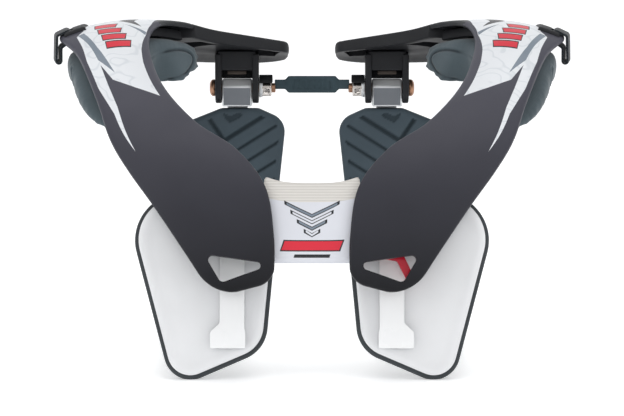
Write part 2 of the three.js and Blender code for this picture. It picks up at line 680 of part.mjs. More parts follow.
// The sleeve's axes at the tip: x by share of the shells' gap, v up along the tilt, height to the front
function sleevePlace(share, v, height) {
  const z = sleeveBottom + v * Math.cos(sleeveTilt);
  const inner = innerEdgeAt(z);
  const depth = SHELL.thickness + GAP + SLEEVE_BAND.seat;
  const y = inner.y + depth / Math.cos(sleeveTilt) - height * Math.cos(sleeveTilt);
  return vec(share * (inner.x + SLEEVE_BAND.tuck), y, z + height * Math.sin(sleeveTilt));
}

// The frame's inner edge at a height, near the front
function innerEdgeAt(z) {
  let [low, high] = [-0.5, 4];
  for (let k = 0; k < 30; k++) {
    const middle = (low + high) / 2;
    if (frameEdges(middle).inner.z < z) low = middle;
    else high = middle;
  }
  return frameEdges(low).inner;
}

// One section of the sleeve as a ring: up the front, over the top and down the back
function sleeveRing(share, drawnIn) {
  const { dip, wall, corner } = SLEEVE_BAND;
  const thickness = LINK.thickness + 2 * GAP + 2 * wall;
  const top = sleeveHeight - dip * (1 - Math.pow(Math.abs(share), 3));
  const bulge = SLEEVE_BAND.bulge * (1 - share * share);
  const ring = [];
  const rise = 6;
  for (let i = 0; i <= rise; i++) {
    const v = lerp(drawnIn + corner, top - drawnIn - corner, i / rise);
    ring.push(sleevePlace(share, v, -drawnIn + bulge * Math.sin((Math.PI * i) / rise)));
  }
  ring.push(sleevePlace(share, top - drawnIn, -thickness / 2));
  for (let i = rise; i >= 0; i--) {
    const v = lerp(drawnIn + corner, top - drawnIn - corner, i / rise);
    ring.push(sleevePlace(share, v, -thickness + drawnIn));
  }
  ring.push(sleevePlace(share, drawnIn, -thickness / 2));
  return ring;
}

function sleeveSolid(drawnIn, reach) {
  const rings = evenly(-reach, reach, SLEEVE.steps).map((share) => sleeveRing(share, drawnIn));
  const centre = (ring) => ring.reduce((sum, p) => sum.add(p), vec(0, 0, 0)).divideScalar(ring.length);
  return solid(ringSolid(rings, centre(rings[0]), centre(rings[rings.length - 1])));
}

function buildSleeve() {
  return geometryOf(sleeveSolid(0, 1).subtract(sleeveSolid(SLEEVE_BAND.wall, 1.1)));
}

// The lever's axes: flat under the shell at the inner end of the slot
function leverAxes() {
  const { across, along, normal } = frameAxes(LEVER.t);
  const origin = framePoint(LEVER.t, LEVER.s, LEVER_BAR.depth + LEVER_BAR.thickness / 2);
  return { across, along, normal, origin };
}

function buildLever() {
  const { across, along, normal, origin } = leverAxes();
  const { thickness, width, reach, tail, corner } = LEVER_BAR;
  const bend = THREE.MathUtils.degToRad(LEVER.bend);
  const half = width / 2;
  const [dx, dy] = [tail * Math.cos(bend), -tail * Math.sin(bend)];
  const points = [
    { x: 0, y: half, radius: corner * 0.5 },
    { x: reach + half * Math.tan(bend / 2), y: half, radius: corner },
    { x: reach + dx + half * Math.sin(bend), y: dy + half * Math.cos(bend), radius: corner * 0.7 },
    { x: reach + dx - half * Math.sin(bend), y: dy - half * Math.cos(bend), radius: corner * 0.7 },
    { x: reach - half * Math.tan(bend / 2), y: -half, radius: corner },
    { x: 0, y: -half, radius: corner * 0.5 },
  ];
  const bar = solid(oriented(prism(roundedOutline(points), thickness), across, along, normal, origin));
  const eye = rodAlong(LEVER_EYE.radius, thickness, normal, origin);
  const hole = rodAlong(LEVER_EYE.pin + GAP, 3 * thickness, normal, origin);
  return geometryOf(bar.add(solid(eye)).subtract(solid(hole)));
}

// A cylinder along a direction, centred on a point
function rodAlong(radius, length, direction, centre) {
  const turn = new THREE.Quaternion().setFromUnitVectors(vec(0, 1, 0), direction);
  const geometry = new THREE.CylinderGeometry(radius, radius, length, ROUND_SIDES);
  return geometry.applyQuaternion(turn).translate(centre.x, centre.y, centre.z);
}

// Bar inside the sleeve that joins the two halves, with the lever's pin on a tab
function buildLink() {
  const { across, along, normal, origin } = leverAxes();
  const { thickness, tabLength, tabThickness } = LINK;
  const height = -(SLEEVE_BAND.wall + GAP);
  const [low, high] = [LINK.below * sleeveHeight, LINK.above * sleeveHeight];
  const outline = (share) => [
    sleevePlace(share, low, height),
    sleevePlace(share, (low + high) / 2, height),
    sleevePlace(share, high, height),
    sleevePlace(share, high, height - thickness),
    sleevePlace(share, (low + high) / 2, height - thickness),
    sleevePlace(share, low, height - thickness),
  ];
  const bar = solid(stripSolid(evenly(-LINK.reach, LINK.reach, 2).map(outline)));
  const pinRoot = tabThickness * 0.83;
  const pinLength = LEVER_BAR.thickness + 2 * GAP + pinRoot;
  const pinAt = origin.clone().addScaledVector(normal, -GAP - pinRoot / 2);
  const tabAt = origin.clone().addScaledVector(normal, -(LEVER_BAR.thickness / 2 + GAP + tabThickness / 2));
  tabAt.addScaledVector(along, tabLength / 2 - LEVER_EYE.radius);
  const tabBox = new THREE.BoxGeometry(2 * LEVER_EYE.radius, tabLength, tabThickness);
  const tab = oriented(tabBox, across, along, normal, tabAt);
  const keepout = shellKeepout();
  const joined = bar.subtract(solid(keepout)).subtract(solid(mirroredGeometry(keepout)));
  return geometryOf(joined.add(solid(tab)).add(solid(rodAlong(LEVER_EYE.pin, pinLength, normal, pinAt))));
}

// Aluminium block with a chamfered top, and the tongue that runs down behind the back plate
function buildBlock() {
  const { front, rear, top, chamfer, rearChamfer, below } = BLOCK;
  const profile = [
    [-front, -below],
    [-front, top - chamfer],
    [-front + chamfer, top],
    [rear - rearChamfer, top],
    [rear, top - rearChamfer],
    [rear, -below],
  ].map(([y, z]) => new THREE.Vector2(y, z));
  const body = solid(oriented(prism(profile, BLOCK.width), ...BOLT_AXES, vec(PIVOT.x, PIVOT.y, PIVOT.z)));
  const half = TONGUE.width / 2;
  const bottom = PIVOT.z - below - TONGUE.length;
  const low = vec(PIVOT.x - half, PIVOT.y + rear - TONGUE.thickness, bottom);
  const high = vec(PIVOT.x + half, PIVOT.y + rear, PIVOT.z - below / 2);
  const [boreFrom, boreTo] = [PIVOT.x - BLOCK.width, PIVOT.x + BLOCK.width];
  const bore = rodX(BOLT.radius + BOLT.clearance, boreFrom, boreTo, PIVOT.y, PIVOT.z);
  return geometryOf(body.add(solid(boxBetween(low, high))).subtract(solid(bore)));
}

// Bolt: shaft through the ears and block, domed head outside, bare tip inside
function buildBolt() {
  const half = BLOCK.width / 2 + EAR.side + EAR.thickness;
  const headFace = half + GAP;
  const inner = -(half + NUT.flangeLength + NUT.length + 2 * GAP + BOLT.tip);
  const dome = [
    [0, inner],
    [BOLT.radius, inner],
    [BOLT.radius, headFace],
    [BOLT.headRadius, headFace],
    [BOLT.headRadius, headFace + BOLT.headHeight * 0.35],
    [BOLT.headRadius * 0.72, headFace + BOLT.headHeight * 0.82],
    [0, headFace + BOLT.headHeight],
  ].map(([r, x]) => new THREE.Vector2(r, x));
  const geometry = new THREE.LatheGeometry(dome, ROUND_SIDES);
  return geometry.rotateZ(-Math.PI / 2).translate(PIVOT.x, PIVOT.y, PIVOT.z);
}

// Flanged hex nut on the inner end of the bolt
function buildNut() {
  const face = PIVOT.x - (BLOCK.width / 2 + EAR.side + EAR.thickness) - GAP;
  const hexRadius = NUT.acrossFlats / 2 / Math.cos(Math.PI / 6);
  const flange = rodX(NUT.flange, face - NUT.flangeLength, face, PIVOT.y, PIVOT.z);
  const [hexFrom, hexTo] = [face - NUT.flangeLength - NUT.length, face - NUT.flangeLength / 2];
  const hex = rodX(hexRadius, hexFrom, hexTo, PIVOT.y, PIVOT.z, 6);
  const bore = rodX(BOLT.radius + BOLT.clearance, 0, PIVOT.x, PIVOT.y, PIVOT.z);
  return geometryOf(solid(flange).add(solid(hex)).subtract(solid(bore)));
}

// Black half ring over the nut
function buildCover() {
  const face = PIVOT.x - (BLOCK.width / 2 + EAR.side + EAR.thickness) - GAP;
  const half = THREE.MathUtils.degToRad(COVER.halfAngle);
  const onArc = (radius, a) => new THREE.Vector2(radius * Math.sin(a), radius * Math.cos(a));
  const arc = (radius, sign) => evenly(-sign * half, sign * half, 8).map((a) => onArc(radius, a));
  const profile = [...arc(COVER.outer, 1), ...arc(COVER.inner, -1)];
  return oriented(prism(profile, COVER.length), ...BOLT_AXES, vec(face - COVER.length / 2, PIVOT.y, PIVOT.z));
}

// Rubber bumper under the clevis web
function buildBumper() {
  const top = PIVOT.z + EAR.webBelow - GAP;
  const low = vec(PIVOT.x - BUMPER.width / 2, PIVOT.y - BUMPER.length / 2, top - BUMPER.thickness);
  const high = vec(PIVOT.x + BUMPER.width / 2, PIVOT.y + BUMPER.length / 2, top);
  return boxBetween(low, high);
}

function backOutline() {
  const top = PIVOT.z - BLOCK.below - BACK.drop;
  const corners = BACK_CORNERS.map(({ x, z, radius }) => ({
    x: PIVOT.x + x * HALF_WIDTH,
    y: z * top,
    radius: radius * BACK.corner,
  }));
  return roundedOutline(corners);
}

const tongueFront = PIVOT.y + BLOCK.rear - TONGUE.thickness;

function buildBackPad() {
  const rear = tongueFront - GAP - BACK.plateThickness - GAP;
  const place = (u, v, height) => vec(u, rear - height, v);
  const round = BACK.padThickness * 0.36;
  const profile = [
    { inset: round * 0.28, height: 0 },
    { inset: 0, height: round * 0.28 },
    { inset: 0, height: BACK.padThickness - round },
    { inset: round * 0.3, height: BACK.padThickness - round * 0.34 },
    { inset: round, height: BACK.padThickness },
  ];
  return onFloor(slab(backOutline(), profile, place));
}

function buildBackPlate() {
  const rear = tongueFront - GAP;
  const place = (u, v, height) => vec(u, rear - height, v);
  const round = BACK.plateThickness * 0.32;
  const profile = [
    { inset: BACK.border + round, height: 0 },
    { inset: BACK.border, height: round },
    { inset: BACK.border, height: BACK.plateThickness },
  ];
  return slab(backOutline(), profile, place);
}

// Screw head on the tongue, at a distance below the pivot block
function buildScrew(below) {
  const rear = PIVOT.y + BLOCK.rear + GAP;
  const geometry = new THREE.CylinderGeometry(SCREW.radius * 0.8, SCREW.radius, SCREW.height, 12);
  const z = PIVOT.z - BLOCK.below - below;
  return geometry.translate(0, SCREW.height / 2, 0).translate(PIVOT.x, rear, z);
}

// Strap between the bolts: a thin neck at each end and a wider panel in the middle
function buildStrap() {
  const end = PIVOT.x - (BLOCK.width / 2 + EAR.side + EAR.thickness) - NUT.flangeLength - NUT.length;
  const reach = end - 3 * GAP - BOLT.tip;
  const half = STRAP_PANEL.share * reach;
  const centreZ = PIVOT.z + STRAP.rise;
  const sections = [
    { x: -reach, height: STRAP.neckHeight, depth: STRAP.neckDepth },
    { x: -half - STRAP_PANEL.slope, height: STRAP.neckHeight, depth: STRAP.neckDepth },
    { x: -half, height: STRAP_PANEL.height, depth: STRAP_PANEL.depth },
  ];
  const all = [...sections, ...sections.map((row) => ({ ...row, x: -row.x })).reverse()];
  const { corner } = STRAP;
  const rings = all.map(({ x, height, depth }) => {
    const [h, d] = [height / 2, depth / 2];
    return [
      [-d + corner, h], [d - corner, h], [d, h - corner], [d, -h + corner],
      [d - corner, -h], [-d + corner, -h], [-d, -h + corner], [-d, h - corner],
    ].map(([y, z]) => vec(x, PIVOT.y + y, centreZ + z));
  });
  return ringSolid(rings, vec(-reach, PIVOT.y, centreZ), vec(reach, PIVOT.y, centreZ));
}

// One half of the brace at +X; the names end in the wearer's side
function buildHalf(side) {
  const half = new THREE.Group();
  const add = (name, geometry, finish) => half.add(mesh(`${name}_${side}`, geometry, finish));
  add("shell", buildShell(), "paint");
  add("chassis", buildChassis(), "black");
  add("shoulder_pad", buildShoulderPad(), "rubber");
  add("strap_loop", loopBand(), "webbing");
  add("chest_pad", buildChestPad(), "edge");
  add("chest_plate", buildChestPlate(), "white");
  add("chest_arm", buildChestArm(), "white");
  add("pivot_block", buildBlock(), "aluminium");
  add("pivot_bolt", buildBolt(), "copper");
  add("pivot_nut", buildNut(), "steel");
  add("nut_cover", buildCover(), "black");
  add("bumper", buildBumper(), "black");
  add("back_plate", buildBackPlate(), "black");
  add("back_pad", buildBackPad(), "rubber");
  add("back_screw_upper", buildScrew(SCREW.upper), "steel");
  add("back_screw_lower", buildScrew(SCREW.lower), "steel");
  return half;
}

const brace = new THREE.Group();
const leftHalf = buildHalf("left");
const rightHalf = buildHalf("right");
rightHalf.scale.x = -1;
brace.add(leftHalf, rightHalf);
brace.add(mesh("front_link", buildLink(), "black"));
brace.add(mesh("front_sleeve", buildSleeve(), "sleeve"));
brace.add(mesh("release_lever", buildLever(), "red"));
brace.add(mesh("rear_strap", buildStrap(), "rubber"));

// The middle of the whole, front to back, comes over the origin.
const bounds = new THREE.Box3().setFromObject(brace, true);
brace.position.y = -(bounds.min.y + bounds.max.y) / 2;

export default brace;
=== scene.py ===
import math

import bmesh
import bpy
import numpy as np
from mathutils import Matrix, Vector


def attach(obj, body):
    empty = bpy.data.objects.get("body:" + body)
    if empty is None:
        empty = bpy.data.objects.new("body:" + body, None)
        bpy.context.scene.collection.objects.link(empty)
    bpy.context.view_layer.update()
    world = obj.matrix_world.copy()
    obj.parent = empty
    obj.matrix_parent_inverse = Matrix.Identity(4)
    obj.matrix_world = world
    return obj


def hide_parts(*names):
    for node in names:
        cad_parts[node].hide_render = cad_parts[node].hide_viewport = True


# Motocross neck brace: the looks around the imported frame. The shapes below are worked out in
# millimetres in the source's own axes, and become metres in the frame when a mesh is made.
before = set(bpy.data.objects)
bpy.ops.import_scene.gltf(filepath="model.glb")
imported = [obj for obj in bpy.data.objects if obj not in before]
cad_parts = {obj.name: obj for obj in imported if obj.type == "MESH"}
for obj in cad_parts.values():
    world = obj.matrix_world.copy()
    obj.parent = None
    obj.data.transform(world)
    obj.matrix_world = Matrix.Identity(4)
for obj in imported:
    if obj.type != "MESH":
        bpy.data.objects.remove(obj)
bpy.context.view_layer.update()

SIDES = {"left": 1, "right": -1}
ROOT = "brace"


def new_object(name, data):
    made = bpy.data.objects.new(name, data)
    bpy.context.collection.objects.link(made)
    return made


# Camera at the photograph's angle, in front of the brace and a little above its middle
TARGET = Vector((0, 0.001377, 0.0876))
CAMERA_ELEVATION = math.radians(5)
CAMERA_DISTANCE = 1.5
SENSOR_WIDTH, LENS = 36, 144.23
camera_data = bpy.data.cameras.new("camera")
camera_data.sensor_width = SENSOR_WIDTH
camera_data.lens = LENS
camera = new_object("camera", camera_data)
ahead = Vector((0, math.cos(CAMERA_ELEVATION), -math.sin(CAMERA_ELEVATION)))
camera.location = TARGET - ahead * CAMERA_DISTANCE
camera.rotation_euler = ahead.to_track_quat("-Z", "Y").to_euler()
bpy.context.scene.camera = camera


# The frame's own sizes and sections, as in the source
HALF_WIDTH, HALF_DEPTH, CREST_HEIGHT = 153.0, 114.0, 200.0
CROWN = 6.5
GAP = 0.3
SHIFT_Y = 1.377
SECTIONS = np.array([
    (0.138, -1.000, 0.2815, 0.357, -0.996, 0.2365, 0.25),
    (0.140, -0.938, 0.4100, 0.470, -0.930, 0.3655, 0.30),
    (0.173, -0.846, 0.5445, 0.582, -0.833, 0.4850, 0.35),
    (0.281, -0.719, 0.6445, 0.686, -0.711, 0.5870, 0.45),
    (0.438, -0.544, 0.7180, 0.758, -0.579, 0.6705, 0.55),
    (0.572, -0.289, 0.8200, 0.817, -0.386, 0.7755, 0.65),
    (0.636, 0.018, 0.9300, 0.905, -0.105, 0.9000, 0.70),
    (0.614, 0.263, 0.9900, 0.998, 0.175, 0.9500, 0.70),
    (0.523, 0.465, 0.9925, 0.954, 0.491, 0.9320, 0.55),
    (0.392, 0.605, 0.9655, 0.739, 0.763, 0.9110, 0.50),
    (0.235, 0.684, 0.9445, 0.458, 0.956, 0.8930, 0.45),
    (0.090, 0.728, 0.9260, 0.105, 0.996, 0.8870, 0.30),
])
SECTION_SCALE = np.array([HALF_WIDTH, HALF_DEPTH, CREST_HEIGHT])
LAST = len(SECTIONS) - 1
SECTION_LENGTH = 26
SHELL_TO, SHELL_THICKNESS = 8.35, 3.6
RAIL_FROM, RAIL_DEPTH, RAIL_INSET = 2.35, 10.5, 0.14
ARM_DEPTH, ARM_END_DEPTH, ARM_END_ROUND, ARM_TOP_ROUND = 9.0, 7.0, 9.0, 2.8
ARM_POCKETS = ((8.85, 9.3, 0.12, 0.5), (10.3, 10.8, 0.16, 0.62))
PIVOT = np.array([0.3105 * HALF_WIDTH, 0.8333 * HALF_DEPTH, 0.78 * CREST_HEIGHT])
BLOCK_WIDTH = 18.8
EAR_THICKNESS, EAR_RADIUS, EAR_SIDE, WEB_BELOW = 4.0, 9.8, 0.35, 11.3


def rows_at(rows, t):
    """A table's row at t, read smoothly, with t counted in rows."""
    last = len(rows) - 1
    i = min(max(int(math.floor(t)), 0), last - 1)
    k = t - i
    p0, p1, p2, p3 = (rows[min(max(n, 0), last)] for n in (i - 1, i, i + 1, i + 2))
    before = p0 if i > 0 else 2 * p1 - p2
    after = p3 if i + 2 <= last else 2 * p2 - p1
    slope1, slope2 = (p2 - before) / 2, (after - p1) / 2
    k2, k3 = k * k, k * k * k
    places = (2 * k3 - 3 * k2 + 1) * p1 + (3 * k2 - 2 * k3) * p2
    return places + (k3 - 2 * k2 + k) * slope1 + (k3 - k2) * slope2


def frame_edges(t):
    row = rows_at(SECTIONS, t)
    return row[0:3] * SECTION_SCALE, row[3:6] * SECTION_SCALE


axes_known = {}


def frame_axes(t):
    """Inner edge, outer edge, width, and the across, along and normal directions at section t."""
    key = round(t, 6)
    if key not in axes_known:
        inner, outer = frame_edges(t)
        width = np.linalg.norm(outer - inner)
        across = (outer - inner) / width
        along = (sum(frame_edges(t + 0.05)) - sum(frame_edges(t - 0.05))) / 2
        normal = np.cross(across, along)
        normal /= np.linalg.norm(normal)
        along = np.cross(normal, across)
        axes_known[key] = inner, outer, width, across, along, normal
    return axes_known[key]


def frame_point(t, s, depth):
    """A point of the frame: section t, share s across, and depth below the top surface."""
    inner, outer, _, _, _, normal = frame_axes(t)
    crown = CROWN * rows_at(SECTIONS, t)[6] * 4 * s * (1 - s)
    return inner + (outer - inner) * s + normal * (crown - depth)


def spread(start, end, steps):
    return [start + (end - start) * i / steps for i in range(steps + 1)]


def mix(a, b, k):
    return a + (b - a) * k


def smooth(k):
    k = min(max(k, 0.0), 1.0)
    return k * k * (3 - 2 * k)


def round_in(distance, radius):
    """How far an edge is drawn in near a rounded end, at a distance from that end."""
    k = min(max(distance / radius, 0), 1)
    return radius * (1 - math.sqrt(max(1 - (1 - k) ** 2, 0)))


# Finishes: every one is a node material with its own grain, wear and colour changes; some of these colour
# changes are painted shade.
def linear(hexcode):
    """The shader's colour for a screen colour."""
    parts = [int(hexcode[i : i + 2], 16) / 255 for i in (1, 3, 5)]
    curve = [c / 12.92 if c <= 0.04045 else ((c + 0.055) / 1.055) ** 2.4 for c in parts]
    return (*curve, 1.0)


class Finish:
    """One material: its shader, and short ways to add the nodes that drive it."""

    def __init__(self, name, color, roughness, **constants):
        self.material = bpy.data.materials.new(name)
        self.material.use_nodes = True
        self.tree = self.material.node_tree
        self.shader = self.tree.nodes["Principled BSDF"]
        self.base = linear(color)
        self.shader.inputs["Base Color"].default_value = self.base
        self.shader.inputs["Roughness"].default_value = roughness
        self.shader.inputs["Specular IOR Level"].default_value = 0.22
        for key, value in constants.items():
            self.shader.inputs[key.replace("_", " ")].default_value = value
        self.place = self.node("ShaderNodeTexCoord").outputs["Object"]
        self.height = None

    def node(self, kind, **settings):
        made = self.tree.nodes.new(kind)
        for key, value in settings.items():
            setattr(made, key, value)
        return made

    def link(self, start, end):
        self.tree.links.new(start, end)

    def math(self, operation, *values):
        made = self.node("ShaderNodeMath", operation=operation)
        for socket, value in zip(made.inputs, values):
            if isinstance(value, (int, float)):
                socket.default_value = value
            else:
                self.link(value, socket)
        return made.outputs[0]

    def stretched(self, scale):
        made = self.node("ShaderNodeMapping")
        made.inputs["Scale"].default_value = scale
        self.link(self.place, made.inputs["Vector"])
        return made.outputs[0]

    def noise(self, scale, detail=3.0, stretch=None):
        made = self.node("ShaderNodeTexNoise")
        made.inputs["Scale"].default_value = scale
        made.inputs["Detail"].default_value = detail
        self.link(self.stretched(stretch) if stretch else self.place, made.inputs["Vector"])
        return made.outputs["Fac"]

    def waves(self, scale, axis):
        made = self.node("ShaderNodeTexWave", bands_direction=axis)
        made.inputs["Scale"].default_value = scale
        self.link(self.place, made.inputs["Vector"])
        return made.outputs["Fac"]

    def ranged(self, value, low, high, start=0.0, end=1.0):
        made = self.node("ShaderNodeMapRange")
        self.link(value, made.inputs["Value"])
        for key, number in zip(("From Min", "From Max", "To Min", "To Max"), (low, high, start, end)):
            made.inputs[key].default_value = number
        return made.outputs[0]

    def blend(self, share, one, other):
        """A colour between two others."""
        made = self.node("ShaderNodeMix", data_type="RGBA")
        self.link(share, made.inputs[0])
        for socket, value in ((made.inputs[6], one), (made.inputs[7], other)):
            if isinstance(value, tuple):
                socket.default_value = value
            else:
                self.link(value, socket)
        return made.outputs[2]

    def color(self, value):
        self.link(value, self.shader.inputs["Base Color"])

    def rough(self, value):
        self.link(value, self.shader.inputs["Roughness"])

    def bump(self, height, strength, distance):
        made = self.node("ShaderNodeBump")
        made.inputs["Strength"].default_value = strength
        made.inputs["Distance"].default_value = distance
        self.link(height, made.inputs["Height"])
        if self.height is not None:
            self.link(self.height, made.inputs["Normal"])
        self.height = made.outputs["Normal"]
        self.link(self.height, self.shader.inputs["Normal"])

    def up(self):
        """The height above the floor, in metres."""
        made = self.node("ShaderNodeSeparateXYZ")
        self.link(self.place, made.inputs[0])
        return made.outputs["Z"]

    def patches(self, amount, scale=30.0):
        """Small lighter and darker patches of the base colour."""
        dark = tuple(c * (1 - amount) for c in self.base[:3]) + (1.0,)
        light = tuple(min(c * (1 + amount), 1) for c in self.base[:3]) + (1.0,)
        return self.blend(self.ranged(self.noise(scale, 4), 0.3, 0.7), dark, light)

    def shade_grooves(self, amount, scale, dark):
        """Patches, with painted shade: a darker colour where an attribute of the piece marks its grooves.
        """
        groove_shade = self.node("ShaderNodeAttribute", attribute_name="groove_shade").outputs["Fac"]
        self.color(self.blend(groove_shade, self.patches(amount, scale), linear(dark)))


def plastic(name, color, roughness, grain=900.0, grain_depth=0.00006, patches=0.12, **constants):
    made = Finish(name, color, roughness, **constants)
    made.color(made.patches(patches))
    made.rough(made.ranged(made.noise(55, 5), 0.3, 0.75, roughness * 0.88, min(roughness * 1.18, 1)))
    made.bump(made.noise(grain, 2), 0.35, grain_depth)
    return made.material


def metal(name, color, roughness, brushed=None, shine=1.0):
    made = Finish(name, color, roughness, Metallic=shine)
    made.color(made.patches(0.06, 60))
    fine = made.noise(140, 4, brushed) if brushed else made.noise(400, 3)
    made.rough(made.ranged(fine, 0.3, 0.7, roughness * 0.75, roughness * 1.4))
    made.bump(fine, 0.25, 0.00003)
    return made.material


def panel_paint():
    made = Finish("panel_paint", "#3c3d44", 0.42)
    high, low = linear("#4a4a54"), linear("#121317")
    # Darker towards the bottom: partly the paint's own gradient, partly painted shade for light falling
    # from above.
    paint_gradient_and_shade = made.ranged(made.up(), 0.05, 0.17)
    mottled_gradient_and_shade = made.math("ADD", paint_gradient_and_shade, made.ranged(made.noise(14, 3), 0.3, 0.7, -0.05, 0.05))
    made.color(made.blend(mottled_gradient_and_shade, low, high))
    made.rough(made.ranged(made.noise(60, 5), 0.3, 0.7, 0.38, 0.5))
    made.bump(made.noise(1500, 2), 0.25, 0.00003)
    return made.material


def print_white():
    """White print with faint contour lines."""
    made = Finish("print_white", "#dfe2e7", 0.38, Coat_Weight=0.3, Coat_Roughness=0.2)
    hills = made.math("FRACT", made.math("MULTIPLY", made.noise(38, 1.5), 9.0))
    line = made.math("ABSOLUTE", made.math("SUBTRACT", hills, 0.5))
    share = made.ranged(line, 0.04, 0.14, 0.4, 0.0)
    made.color(made.blend(share, linear("#e3e6ea"), linear("#bfc6cd")))
    made.bump(made.noise(1500, 2), 0.2, 0.00002)
    return made.material


def moulded_rubber(name, color, dark):
    made = Finish(name, color, 0.72)
    # The darker colour in the grooves is painted shade.
    made.shade_grooves(0.14, 24, dark)
    made.rough(made.ranged(made.noise(70, 4), 0.3, 0.7, 0.62, 0.8))
    made.bump(made.noise(1300, 3), 0.4, 0.0001)
    made.bump(made.noise(90, 3), 0.15, 0.0004)
    return made.material


def knit(name, color, dark):
    """Fine woven cover with a soft sheen, and painted shade darkening its seams."""
    made = Finish(name, color, 0.85, Sheen_Weight=0.25, Sheen_Roughness=0.5)
    weave = made.math("MULTIPLY", made.waves(420, "X"), made.waves(420, "Z"))
    weave = made.math("ADD", weave, made.math("MULTIPLY", made.waves(420, "Y"), 0.5))
    made.shade_grooves(0.15, 30, dark)
    made.bump(weave, 0.3, 0.00012)
    made.bump(made.noise(140, 4), 0.2, 0.0005)
    return made.material


def webbing():
    made = Finish("webbing", "#202529", 0.8, Sheen_Weight=0.2)
    weave = made.math("MULTIPLY", made.waves(330, "DIAGONAL"), made.waves(520, "Z"))
    made.color(made.blend(weave, linear("#15191c"), linear("#39424a")))
    made.bump(weave, 0.6, 0.00025)
    return made.material


def ribbed_band():
    made = Finish("ribbed_band", "#dcd9d3", 0.7)
    ribs = made.waves(210, "Z")
    made.color(made.blend(ribs, linear("#cdc9c4"), linear("#dedbd6")))
    made.bump(made.noise(700, 3), 0.3, 0.0001)
    return made.material


FINISHES = {
    "paint": panel_paint(),
    "print_white": print_white(),
    "print_grey": plastic("print_grey", "#7b8692", 0.4, patches=0.05, Coat_Weight=0.3),
    "print_red": plastic("print_red", "#d8283c", 0.4, patches=0.05, Coat_Weight=0.3),
    "print_black": plastic("print_black", "#25272b", 0.42, patches=0.05, Coat_Weight=0.3),
    "black": plastic("moulded_black", "#242528", 0.5, grain=700, grain_depth=0.00012),
    "black_soft": plastic("black_rubber", "#1c1e20", 0.7, grain=900, grain_depth=0.0001),
    "bumper": plastic("bumper_rubber", "#49413c", 0.6, grain=900),
    "slate": moulded_rubber("slate_rubber", "#46525a", "#1c272d"),
    "strap": moulded_rubber("strap_rubber", "#3b4b52", "#25333a"),
    "knit": knit("slate_cover", "#4e5a60", "#262f35"),
    "edge": plastic("edge_rubber", "#3f4346", 0.65, grain=800, grain_depth=0.00012),
    "white": plastic("white_plastic", "#e5e6e8", 0.33, patches=0.03, Coat_Weight=0.2),
    "strip": plastic("white_strip", "#f4f5f6", 0.28, patches=0.02, Coat_Weight=0.3),
    "sleeve": plastic("sleeve_rubber", "#dadce3", 0.6, grain=1100, patches=0.03),
    "band": ribbed_band(),
    "foam": plastic("brown_foam", "#8a7768", 0.9, grain=500, grain_depth=0.0003, patches=0.3),
    "webbing": webbing(),
    "brushed": metal("brushed_aluminium", "#85898f", 0.42, brushed=(1.0, 1.0, 0.06), shine=0.8),
    "bright": metal("bright_aluminium_and_highlight", "#dfe1e3", 0.4, brushed=(0.08, 1.0, 1.0), shine=0.45),
    "copper": metal("copper_plate", "#a9826a", 0.36),
    "chrome": metal("chrome_steel", "#d3cdc8", 0.16),
    "steel": metal("plain_steel", "#9a9c9f", 0.35),
    # Near-black finish for the bolt's sockets: painted shade.
    "socket_shade": plastic("painted_socket_shade", "#0b0c0d", 0.6),
    "red": plastic("moulded_red", "#c4142f", 0.35, patches=0.06, Coat_Weight=0.3),
}


# Meshes: built in millimetres at the wearer's left, and turned over for the right
def to_object(name, bm, finishes, side=1, sharp=40.0):
    """A finished object from a bmesh in millimetres."""
    for v in bm.verts:
        v.co = Vector((v.co.x * side, v.co.y + SHIFT_Y, v.co.z)) * 0.001
    bmesh.ops.recalc_face_normals(bm, faces=bm.faces)
    for f in bm.faces:
        f.smooth = True
    data = bpy.data.meshes.new(name)
    bm.to_mesh(data)
    bm.free()
    made = new_object(name, data)
    for finish in finishes:
        data.materials.append(FINISHES[finish])
    data.set_sharp_from_angle(angle=math.radians(sharp))
    return made


def loft(rings, endless=False):
    """A closed form through rings of equal length: flat at both ends, or joined end to end."""
    bm = bmesh.new()
    made = [[bm.verts.new(p) for p in ring] for ring in rings]
    n = len(rings[0])
    for one, other in zip(made, made[1:] + (made[:1] if endless else [])):
        for i in range(n):
            j = (i + 1) % n
            bm.faces.new((one[i], one[j], other[j], other[i]))
    if not endless:
        bm.faces.new(made[0])
        bm.faces.new(made[-1])
    return bm


def layered(us, vs):
    """A closed plate over a grid of u and v, with layer 1 on top and layer 0 below."""
    bm = bmesh.new()
    verts = {}
    for i, u in enumerate(us):
        for j, v in enumerate(vs):
            for k in (0, 1):
                verts[i, j, k] = bm.verts.new((u, v, k))
    m, n = len(us) - 1, len(vs) - 1
    for i in range(m):
        for j in range(n):
            around = ((i, j), (i + 1, j), (i + 1, j + 1), (i, j + 1))
            for k in (0, 1):
                bm.faces.new([verts[a, b, k] for a, b in around])
    rim = [(i, 0) for i in range(m)] + [(m, j) for j in range(n)]
    rim += [(i, n) for i in range(m, 0, -1)] + [(0, j) for j in range(n, 0, -1)]
    for a, b in zip(rim, rim[1:] + rim[:1]):
        bm.faces.new((verts[(*a, 0)], verts[(*b, 0)], verts[(*b, 1)], verts[(*a, 1)]))
    return bm


def inside(p, corners):
    """Whether a flat point lies in a polygon."""
    found = False
    for (x1, y1), (x2, y2) in zip(corners, corners[1:] + corners[:1]):
        if (y1 > p[1]) != (y2 > p[1]) and p[0] < (x2 - x1) * (p[1] - y1) / (y2 - y1) + x1:
            found = not found
    return found


